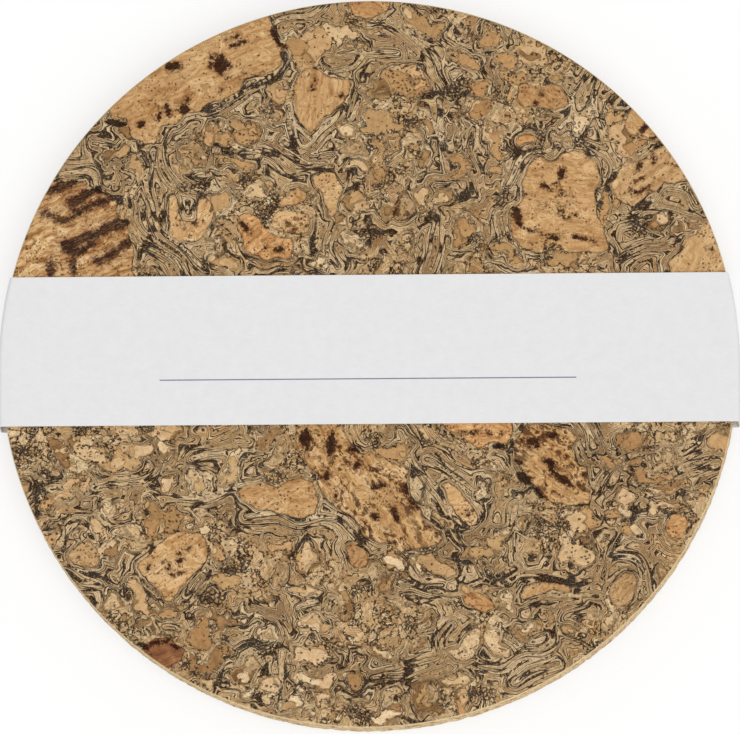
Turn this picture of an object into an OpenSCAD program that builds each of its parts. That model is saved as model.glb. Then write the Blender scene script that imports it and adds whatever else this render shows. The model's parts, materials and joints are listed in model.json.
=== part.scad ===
// Round cork trivet in its card sleeve.
// A sheet of marbled natural cork is glued on a fine grained cork board, and a strip of card
// is wrapped round the middle of the disc and glued to itself underneath.
// +Z is up, the origin is under the middle of the disc, and the sleeve pulls off along +Y.

/* [Cork disc] */
// Diameter of the disc
disc_d = 195; // [160:1:230]
// Thickness of the fine grained cork board
core_t = 7.9; // [5:0.1:12]
// Thickness of the marbled cork sheet on top
face_t = 1; // [0.8:0.1:2]
// Thickness of the glue film under the marbled sheet
film_t = 0.1; // [0.05:0.05:0.3]
// Radius of the softened edges of the disc
edge_r = 0.6; // [0.2:0.1:0.7]

/* [Card sleeve] */
// Width of the sleeve, along Y
sleeve_w = 40; // [24:1:60]
// How far the middle of the sleeve lies from the middle of the disc, along Y
sleeve_shift = 3.5; // [0:0.5:10]
// Thickness of the card
card_t = 0.35; // [0.25:0.05:0.8]
// Gap between the card and the cork, all round
sleeve_gap = 0.2; // [0.15:0.05:0.6]
// Length of the glued overlap on the underside
lap_l = 28; // [15:1:50]
// Length of the slope where the card steps down to the overlap
lap_step_l = 4; // [2:0.5:10]
// Room between the slope and the end of the inner layer
lap_end_gap = 1; // [0.5:0.5:3]
// Thickness of the glue in the overlap
lap_glue_t = 0.1; // [0.05:0.05:0.3]
// Width of the bare card beside the glue, at both edges
lap_glue_margin = 2; // [0.5:0.5:6]

/* [Hidden] */
$fn = 128;
// how far a cutting shape runs past what it cuts, and the lap runs into the band it joins
overrun = 1;

disc_r = disc_d / 2;
disc_t = core_t + film_t + face_t;

// heights above the surface that the sleeve lies on
inner_layer_z = card_t + lap_glue_t;
disc_z = inner_layer_z + card_t + sleeve_gap;
film_z = disc_z + core_t;
face_z = film_z + film_t;
face_top_z = face_z + face_t;

// the sleeve's cavity and its outside
cavity_half_w = disc_r + sleeve_gap;
cavity_h = disc_t + 2 * sleeve_gap;
cavity_r = edge_r + sleeve_gap;
sleeve_half_w = cavity_half_w + card_t;
sleeve_h = cavity_h + 2 * card_t;
fold_r = cavity_r + card_t;
sleeve_y_low = sleeve_shift - sleeve_w / 2;
sleeve_y_high = sleeve_shift + sleeve_w / 2;
lap_tab_x = lap_l / 2 + lap_end_gap;
lap_slope_x = lap_tab_x + lap_step_l;

// Outlines of the large slices of natural cork in the marbled sheet, as shares of the disc's
// radius, with +Y up the face. Points past the rim are cut off by the disc's edge.
upper_left_shares = [
    [-0.72, 0.72], [-0.70, 0.69], [-0.665, 0.68], [-0.65, 0.655], [-0.635, 0.625], [-0.605, 0.605],
    [-0.58, 0.61], [-0.575, 0.635], [-0.56, 0.655], [-0.53, 0.665], [-0.50, 0.69], [-0.46, 0.695],
    [-0.44, 0.72], [-0.40, 0.73], [-0.37, 0.745], [-0.33, 0.785], [-0.29, 0.795], [-0.25, 0.815],
    [-0.235, 0.835], [-0.24, 0.855], [-0.215, 0.875], [-0.245, 0.89], [-0.265, 0.945],
    [-0.29, 0.99], [-0.50, 0.95], [-0.65, 0.85]];
bark_shares = [
    [-0.90, 0.52], [-0.86, 0.505], [-0.81, 0.505], [-0.77, 0.505], [-0.765, 0.485], [-0.74, 0.475],
    [-0.695, 0.46], [-0.69, 0.43], [-0.685, 0.405], [-0.655, 0.385], [-0.65, 0.345],
    [-0.64, 0.31], [-0.645, 0.27], [-0.64, 0.225], [-0.68, 0.19], [-0.78, 0.175],
    [-0.88, 0.18], [-1.01, 0.19]];
right_shares = [
    [0.435, 0.53], [0.45, 0.555], [0.475, 0.565], [0.49, 0.55], [0.515, 0.555], [0.53, 0.575],
    [0.555, 0.585], [0.58, 0.575], [0.60, 0.56], [0.62, 0.555], [0.62, 0.53], [0.63, 0.505],
    [0.625, 0.485], [0.61, 0.475], [0.62, 0.425], [0.62, 0.40], [0.64, 0.36], [0.65, 0.31],
    [0.60, 0.30], [0.56, 0.30], [0.52, 0.31], [0.50, 0.33], [0.475, 0.30], [0.44, 0.31],
    [0.41, 0.315], [0.395, 0.335], [0.38, 0.375], [0.385, 0.415], [0.41, 0.435], [0.42, 0.48],
    [0.415, 0.495]];
right_rim_shares = [
    [0.665, 0.465], [0.66, 0.49], [0.68, 0.52], [0.70, 0.545], [0.74, 0.555], [0.77, 0.575],
    [0.80, 0.59], [0.83, 0.60], [0.92, 0.51], [0.865, 0.495], [0.82, 0.49], [0.80, 0.495],
    [0.785, 0.47], [0.75, 0.45], [0.72, 0.43], [0.70, 0.43], [0.68, 0.445]];
right_edge_shares = [
    [0.93, 0.39], [0.905, 0.365], [0.88, 0.34], [0.86, 0.33], [0.86, 0.31], [0.83, 0.285],
    [0.815, 0.27], [0.82, 0.235], [0.86, 0.21], [0.92, 0.20], [1.00, 0.21], [0.97, 0.38]];
dotted_shares = [
    [-0.63, -0.56], [-0.605, -0.53], [-0.575, -0.50], [-0.535, -0.47], [-0.50, -0.46],
    [-0.46, -0.465], [-0.44, -0.485], [-0.435, -0.515], [-0.45, -0.55], [-0.475, -0.58],
    [-0.505, -0.61], [-0.52, -0.635], [-0.55, -0.655], [-0.565, -0.63], [-0.59, -0.605]];
long_rough_shares = [
    [-0.195, -0.14], [-0.19, -0.25], [-0.165, -0.285], [-0.145, -0.30], [-0.14, -0.335],
    [-0.11, -0.38], [-0.075, -0.405], [-0.045, -0.425], [-0.02, -0.45], [-0.015, -0.475],
    [0.02, -0.49], [0.06, -0.495], [0.09, -0.52], [0.12, -0.51], [0.19, -0.50], [0.195, -0.475],
    [0.165, -0.45], [0.14, -0.415], [0.12, -0.375], [0.105, -0.33], [0.105, -0.29],
    [0.06, -0.275], [0.03, -0.255], [-0.02, -0.25], [-0.045, -0.235], [-0.06, -0.20],
    [-0.085, -0.14]];
blotched_shares = [
    [0.40, -0.215], [0.42, -0.185], [0.45, -0.17], [0.50, -0.18], [0.54, -0.185], [0.56, -0.21],
    [0.555, -0.25], [0.57, -0.29], [0.59, -0.30], [0.595, -0.33], [0.60, -0.36], [0.595, -0.39],
    [0.55, -0.395], [0.50, -0.39], [0.475, -0.375], [0.45, -0.34], [0.42, -0.305], [0.395, -0.27]];
pale_oval_shares = [
    [0.195, -0.34], [0.215, -0.33], [0.24, -0.345], [0.265, -0.375], [0.28, -0.395],
    [0.295, -0.42], [0.29, -0.44], [0.27, -0.45], [0.25, -0.435], [0.23, -0.405], [0.21, -0.375]];
orange_block_shares = [
    [0.205, -0.13], [0.20, -0.17], [0.215, -0.19], [0.25, -0.20], [0.27, -0.22], [0.30, -0.24],
    [0.325, -0.225], [0.35, -0.225], [0.375, -0.235], [0.385, -0.20], [0.385, -0.13]];
pale_left_shares = [
    [0.215, -0.80], [0.235, -0.79], [0.25, -0.765], [0.27, -0.745], [0.29, -0.73],
    [0.305, -0.735], [0.30, -0.77], [0.285, -0.79], [0.28, -0.81], [0.255, -0.82], [0.235, -0.815]];
pale_right_shares = [
    [0.315, -0.74], [0.335, -0.735], [0.35, -0.75], [0.355, -0.775], [0.385, -0.79],
    [0.385, -0.81], [0.34, -0.805], [0.32, -0.785], [0.31, -0.76]];
russet_shares = [
    [-0.605, -0.765], [-0.575, -0.755], [-0.545, -0.755], [-0.515, -0.77], [-0.50, -0.785],
    [-0.51, -0.81], [-0.535, -0.83], [-0.57, -0.87], [-0.64, -0.81]];
smooth_shares = [
    [-0.355, -0.35], [-0.33, -0.335], [-0.29, -0.33], [-0.25, -0.34], [-0.225, -0.32],
    [-0.19, -0.315], [-0.155, -0.33], [-0.14, -0.36], [-0.14, -0.39], [-0.155, -0.415],
    [-0.18, -0.425], [-0.22, -0.415], [-0.27, -0.405], [-0.31, -0.395], [-0.34, -0.375]];
amber_shares = [
    [-0.355, 0.40], [-0.33, 0.415], [-0.30, 0.40], [-0.285, 0.38], [-0.265, 0.355],
    [-0.24, 0.345], [-0.205, 0.34], [-0.20, 0.315], [-0.215, 0.295], [-0.25, 0.29],
    [-0.28, 0.285], [-0.31, 0.30], [-0.335, 0.315], [-0.345, 0.345], [-0.36, 0.37]];
speckled_shares = [
    [-0.265, 0.38], [-0.26, 0.405], [-0.245, 0.42], [-0.20, 0.415], [-0.17, 0.41],
    [-0.16, 0.385], [-0.165, 0.36], [-0.20, 0.355], [-0.235, 0.36], [-0.255, 0.37]];
horseshoe_shares = [
    [-0.545, 0.46], [-0.53, 0.475], [-0.52, 0.45], [-0.515, 0.415], [-0.50, 0.395],
    [-0.475, 0.40], [-0.47, 0.43], [-0.465, 0.45], [-0.44, 0.455], [-0.425, 0.44],
    [-0.425, 0.41], [-0.435, 0.385], [-0.445, 0.355], [-0.48, 0.335], [-0.52, 0.34],
    [-0.54, 0.36], [-0.545, 0.41]];
top_shares = [
    [-0.20, 0.74], [-0.195, 0.79], [-0.175, 0.81], [-0.13, 0.81], [-0.11, 0.79], [-0.06, 0.785],
    [-0.045, 0.775], [-0.05, 0.745], [-0.075, 0.71], [-0.105, 0.69], [-0.13, 0.675],
    [-0.145, 0.65], [-0.165, 0.635], [-0.185, 0.665], [-0.195, 0.70]];
top_rim_shares = [
    [-0.05, 1.02], [-0.05, 0.98], [-0.035, 0.96], [-0.01, 0.95], [0.02, 0.955], [0.045, 0.97],
    [0.055, 0.985], [0.06, 1.02]];
centre_shares = [
    [-0.155, 0.52], [-0.12, 0.52], [-0.095, 0.525], [-0.08, 0.50], [-0.075, 0.475],
    [-0.085, 0.445], [-0.09, 0.41], [-0.11, 0.405], [-0.12, 0.44], [-0.13, 0.475], [-0.145, 0.495]];
heart_shares = [
    [-0.245, 0.43], [-0.235, 0.455], [-0.22, 0.46], [-0.21, 0.48], [-0.185, 0.48],
    [-0.17, 0.465], [-0.18, 0.45], [-0.205, 0.435], [-0.225, 0.43]];
red_tip_shares = [
    [0.06, 0.42], [0.075, 0.445], [0.105, 0.465], [0.125, 0.44], [0.13, 0.415], [0.11, 0.40],
    [0.08, 0.385], [0.065, 0.40]];
brown_shares = [
    [0.405, 0.72], [0.405, 0.755], [0.43, 0.765], [0.46, 0.755], [0.50, 0.765], [0.53, 0.75],
    [0.55, 0.72], [0.54, 0.70], [0.50, 0.695], [0.46, 0.70], [0.42, 0.70]];
small_oval_shares = [
    [0.40, 0.61], [0.415, 0.625], [0.44, 0.63], [0.455, 0.62], [0.45, 0.605], [0.43, 0.60],
    [0.41, 0.595]];
upper_rim_shares = [
    [0.70, 0.655], [0.71, 0.685], [0.735, 0.71], [0.81, 0.62], [0.785, 0.605], [0.75, 0.615],
    [0.72, 0.62], [0.705, 0.635]];
orange_drop_shares = [
    [-0.065, -0.51], [-0.05, -0.495], [-0.025, -0.505], [-0.005, -0.52], [0.00, -0.54],
    [-0.015, -0.56], [-0.04, -0.56], [-0.055, -0.54]];
leaf_shares = [
    [0.12, -0.545], [0.14, -0.53], [0.17, -0.535], [0.20, -0.55], [0.225, -0.565],
    [0.24, -0.58], [0.215, -0.59], [0.18, -0.58], [0.15, -0.565]];
low_orange_shares = [
    [0.25, -0.64], [0.29, -0.635], [0.32, -0.65], [0.34, -0.675], [0.31, -0.685],
    [0.28, -0.675], [0.26, -0.665]];
lower_right_shares = [
    [0.65, -0.65], [0.65, -0.62], [0.67, -0.60], [0.69, -0.585], [0.715, -0.585],
    [0.725, -0.60], [0.72, -0.625], [0.71, -0.655], [0.68, -0.68], [0.665, -0.665]];
right_low_shares = [
    [0.80, -0.45], [0.815, -0.43], [0.84, -0.425], [0.86, -0.44], [0.86, -0.465],
    [0.85, -0.485], [0.825, -0.49], [0.805, -0.475]];
long_thin_shares = [
    [0.41, -0.64], [0.43, -0.62], [0.46, -0.61], [0.50, -0.61], [0.54, -0.62], [0.55, -0.63],
    [0.49, -0.63], [0.45, -0.64], [0.42, -0.65]];
left_low_shares = [
    [-0.82, -0.525], [-0.795, -0.50], [-0.76, -0.485], [-0.74, -0.505], [-0.73, -0.535],
    [-0.73, -0.56], [-0.77, -0.555], [-0.80, -0.545]];

tan_cork = [0.78, 0.61, 0.40];
orange_cork = [0.76, 0.53, 0.33];
pale_cork = [0.86, 0.74, 0.55];
russet_cork = [0.50, 0.29, 0.17];

// one row for each slice: its node, its outline and its colour
slices = [
    ["upper_left_slice", upper_left_shares, tan_cork],
    ["bark_slice", bark_shares, orange_cork],
    ["right_slice", right_shares, tan_cork],
    ["right_rim_slice", right_rim_shares, tan_cork],
    ["right_edge_slice", right_edge_shares, orange_cork],
    ["dotted_slice", dotted_shares, tan_cork],
    ["long_rough_slice", long_rough_shares, pale_cork],
    ["blotched_slice", blotched_shares, tan_cork],
    ["pale_oval_slice", pale_oval_shares, pale_cork],
    ["orange_block_slice", orange_block_shares, orange_cork],
    ["pale_left_flake", pale_left_shares, pale_cork],
    ["pale_right_flake", pale_right_shares, pale_cork],
    ["russet_chip", russet_shares, russet_cork],
    ["smooth_slice", smooth_shares, tan_cork],
    ["amber_slice", amber_shares, orange_cork],
    ["speckled_slice", speckled_shares, pale_cork],
    ["horseshoe_slice", horseshoe_shares, tan_cork],
    ["top_slice", top_shares, tan_cork],
    ["top_rim_slice", top_rim_shares, orange_cork],
    ["centre_slice", centre_shares, tan_cork],
    ["heart_slice", heart_shares, tan_cork],
    ["red_tip_slice", red_tip_shares, orange_cork],
    ["brown_slice", brown_shares, orange_cork],
    ["small_oval_slice", small_oval_shares, orange_cork],
    ["upper_rim_slice", upper_rim_shares, tan_cork],
    ["orange_drop_slice", orange_drop_shares, orange_cork],
    ["leaf_slice", leaf_shares, tan_cork],
    ["low_orange_slice", low_orange_shares, orange_cork],
    ["lower_right_slice", lower_right_shares, tan_cork],
    ["right_low_slice", right_low_shares, orange_cork],
    ["long_thin_slice", long_thin_shares, tan_cork],
    ["left_low_slice", left_low_shares, tan_cork]];

// Right half of a rectangle with rounded outer corners, standing on y = 0
module rounded_half(half_w, h, r) {
    square([half_w - r, h]);
    translate([0, r])
        square([half_w, h - 2 * r]);
    for (corner_y = [r, h - r])
        translate([half_w - r, corner_y])
            circle(r = r);
}

// The layer of the disc between two heights, with the disc's softened edges
module disc_layer(low_z, high_z) {
    intersection() {
        translate([0, 0, disc_z])
            rotate_extrude()
                rounded_half(disc_r, disc_t, edge_r);
        translate([0, 0, low_z])
            cylinder(r = disc_r + overrun, h = high_z - low_z);
    }
}

// An outline of the face as a solid block that reaches past the sheet by the extra height
module outline_block(outline_shares, extra) {
    translate([0, 0, face_z - extra])
        linear_extrude(face_t + 2 * extra)
            polygon([for (point = outline_shares) point * disc_r]);
}

module core_board() {
    color([0.85, 0.74, 0.58])
        disc_layer(disc_z, film_z);
}

module face_glue() {
    color([0.83, 0.76, 0.60])
        disc_layer(film_z, face_z);
}

// The marbled sheet, with an opening for each slice
module face_sheet() {
    color([0.66, 0.52, 0.36])
        difference() {
            disc_layer(face_z, face_top_z);
            for (slice = slices)
                outline_block(slice[1], overrun);
        }
}

module cork_slice(slice) {
    color(slice[2])
        intersection() {
            disc_layer(face_z, face_top_z);
            outline_block(slice[1], overrun);
        }
}

// A band round the disc: straight ends up to the disc's widest line, and ends that follow
// the rim past it
module band_form(half_w, h, r, y_low, y_high) {
    rotate([90, 0, 0])
        linear_extrude(-y_low)
            for (side = [0, 1])
                mirror([side, 0])
                    rounded_half(half_w, h, r);
    intersection() {
        rotate_extrude()
            rounded_half(half_w, h, r);
        translate([-half_w - overrun, 0, -overrun])
            cube([2 * (half_w + overrun), y_high, h + 2 * overrun]);
    }
}

// The strip of card, closed round the disc, with its lower end stepped down under the other
module card_sleeve() {
    color([0.91, 0.91, 0.91]) {
        difference() {
            translate([0, 0, inner_layer_z])
                band_form(sleeve_half_w, sleeve_h, fold_r, sleeve_y_low, sleeve_y_high);
            translate([0, 0, inner_layer_z + card_t])
                band_form(cavity_half_w, cavity_h, cavity_r,
                    sleeve_y_low - overrun, sleeve_y_high + overrun);
            translate([lap_l / 2, sleeve_y_low - overrun, inner_layer_z - overrun])
                cube([lap_slope_x - lap_l / 2, sleeve_w + 2 * overrun, overrun + card_t + sleeve_gap / 2]);
        }
        translate([0, sleeve_y_high, 0])
            rotate([90, 0, 0])
                linear_extrude(sleeve_w)
                    polygon([
                        [-lap_l / 2, 0],
                        [lap_tab_x, 0],
                        [lap_slope_x, inner_layer_z],
                        [lap_slope_x + overrun, inner_layer_z],
                        [lap_slope_x + overrun, inner_layer_z + card_t],
                        [lap_slope_x, inner_layer_z + card_t],
                        [lap_tab_x, card_t],
                        [-lap_l / 2, card_t]]);
    }
}

module lap_glue() {
    color([0.95, 0.93, 0.80])
        translate([-lap_l / 2, sleeve_y_low + lap_glue_margin, card_t])
            cube([lap_l, sleeve_w - 2 * lap_glue_margin, lap_glue_t]);
}

core_board();
face_glue();
face_sheet();
for (slice = slices)
    cork_slice(slice);
card_sleeve();
lap_glue();
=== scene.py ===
import json
import math

import bpy
import numpy as np
from mathutils import Matrix, Vector, kdtree, noise
from mathutils.geometry import delaunay_2d_cdt


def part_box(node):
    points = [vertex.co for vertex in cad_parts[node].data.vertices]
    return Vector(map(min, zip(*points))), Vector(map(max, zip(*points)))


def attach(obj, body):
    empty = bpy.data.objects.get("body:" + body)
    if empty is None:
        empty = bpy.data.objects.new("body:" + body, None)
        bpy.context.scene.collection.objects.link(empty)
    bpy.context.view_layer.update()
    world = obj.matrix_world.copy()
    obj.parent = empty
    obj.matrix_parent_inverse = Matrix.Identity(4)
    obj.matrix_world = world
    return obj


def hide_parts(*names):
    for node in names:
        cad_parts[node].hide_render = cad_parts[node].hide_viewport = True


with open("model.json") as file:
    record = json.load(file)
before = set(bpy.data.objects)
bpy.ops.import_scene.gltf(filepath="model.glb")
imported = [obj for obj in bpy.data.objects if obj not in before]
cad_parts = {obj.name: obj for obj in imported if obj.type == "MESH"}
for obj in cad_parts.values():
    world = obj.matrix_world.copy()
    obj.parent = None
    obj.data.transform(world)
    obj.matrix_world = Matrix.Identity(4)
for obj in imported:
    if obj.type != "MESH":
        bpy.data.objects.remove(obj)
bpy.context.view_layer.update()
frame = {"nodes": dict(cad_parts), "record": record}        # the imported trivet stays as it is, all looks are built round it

mm = 0.001               # the patterns are worked out in millimetres, the meshes are in metres
noise.seed_set(5)        # the ragged edges come out the same each time
slotOf = {row["node"]: row["material_slot"] for row in frame["record"]["subparts"]}

discRadius = -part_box("core_board")[0].y / mm - 0.001      # the flat sides of the CAD rim lie this far out
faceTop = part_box("face_sheet")[1].z / mm
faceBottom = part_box("face_sheet")[0].z / mm

sliceNodes = [name for name in frame["nodes"] if name.endswith(("_slice", "_flake", "_chip"))]


# Meshes

def makePiece(name, corners, faces, material, body, nodes, smooth=True, sharpTurn=40):
    mesh = bpy.data.meshes.new(name)
    mesh.from_pydata([Vector(corner) * mm for corner in corners], [], faces)
    mesh.update()
    if smooth:
        mesh.polygons.foreach_set("use_smooth", [True] * len(mesh.polygons))
        mesh.set_sharp_from_angle(angle=math.radians(sharpTurn))
    piece = bpy.data.objects.new(name, mesh)
    bpy.context.scene.collection.objects.link(piece)
    mesh.materials.append(material)
    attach(piece, body)
    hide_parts(*nodes)
    return piece


def makeFilm(name, outline, middle, low, high, material, body, node):      # a thin closed film of glue
    count = len(outline)
    corners = [(x, y, z) for z in (low, high) for x, y in outline]
    corners += [(*middle, low), (*middle, high)]
    faces = []
    for k in range(count):
        n = (k + 1) % count
        faces += [(k, n, count + n, count + k), (2 * count, n, k), (2 * count + 1, count + k, count + n)]
    return makePiece(name, corners, faces, material, body, [node])


def paintValues(piece, name, values):      # one number for each corner point of the mesh
    layer = piece.data.attributes.new(name, "FLOAT", "POINT")
    layer.data.foreach_set("value", np.asarray(values, np.float32))


def onCircle(radius, angle):
    return radius * math.cos(angle), radius * math.sin(angle)


def roundedPath(points, steps=5, closed=False, bend=1.0):      # a smooth line through given points
    points = [np.array(point, float) for point in points]
    count = len(points)
    path = []
    for i in range(count if closed else count - 1):
        near = [i + k if closed else min(max(i + k, 0), count - 1) for k in (-1, 0, 1, 2)]
        a, b, c, d = (points[k % count] for k in near)
        for k in range(steps):
            t = k / steps
            smooth = 0.5 * (2 * b + (c - a) * t + (2 * a - 5 * b + 4 * c - d) * t ** 2
                            + (3 * b - a - 3 * c + d) * t ** 3)
            path.append(smooth * bend + (b + (c - b) * t) * (1 - bend))
    if not closed:
        path.append(points[-1])
    return np.array(path)


def wobble(spots, size, amount, seed):      # a smooth random push for each spot, in mm
    return np.array([noise.noise_vector(Vector((x / size, y / size, seed)))[:2] for x, y in spots]) * amount


def wobbled(spots, layers, seed):
    moved = spots.copy()
    for k, (size, depth) in enumerate(layers):
        moved = moved + wobble(spots, size, depth, seed + k)
    return moved


# Where things lie on the face: shares of the disc's radius, +Y up the face.
# A chip is (x, y, half length, half width, turn in degrees).

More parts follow.
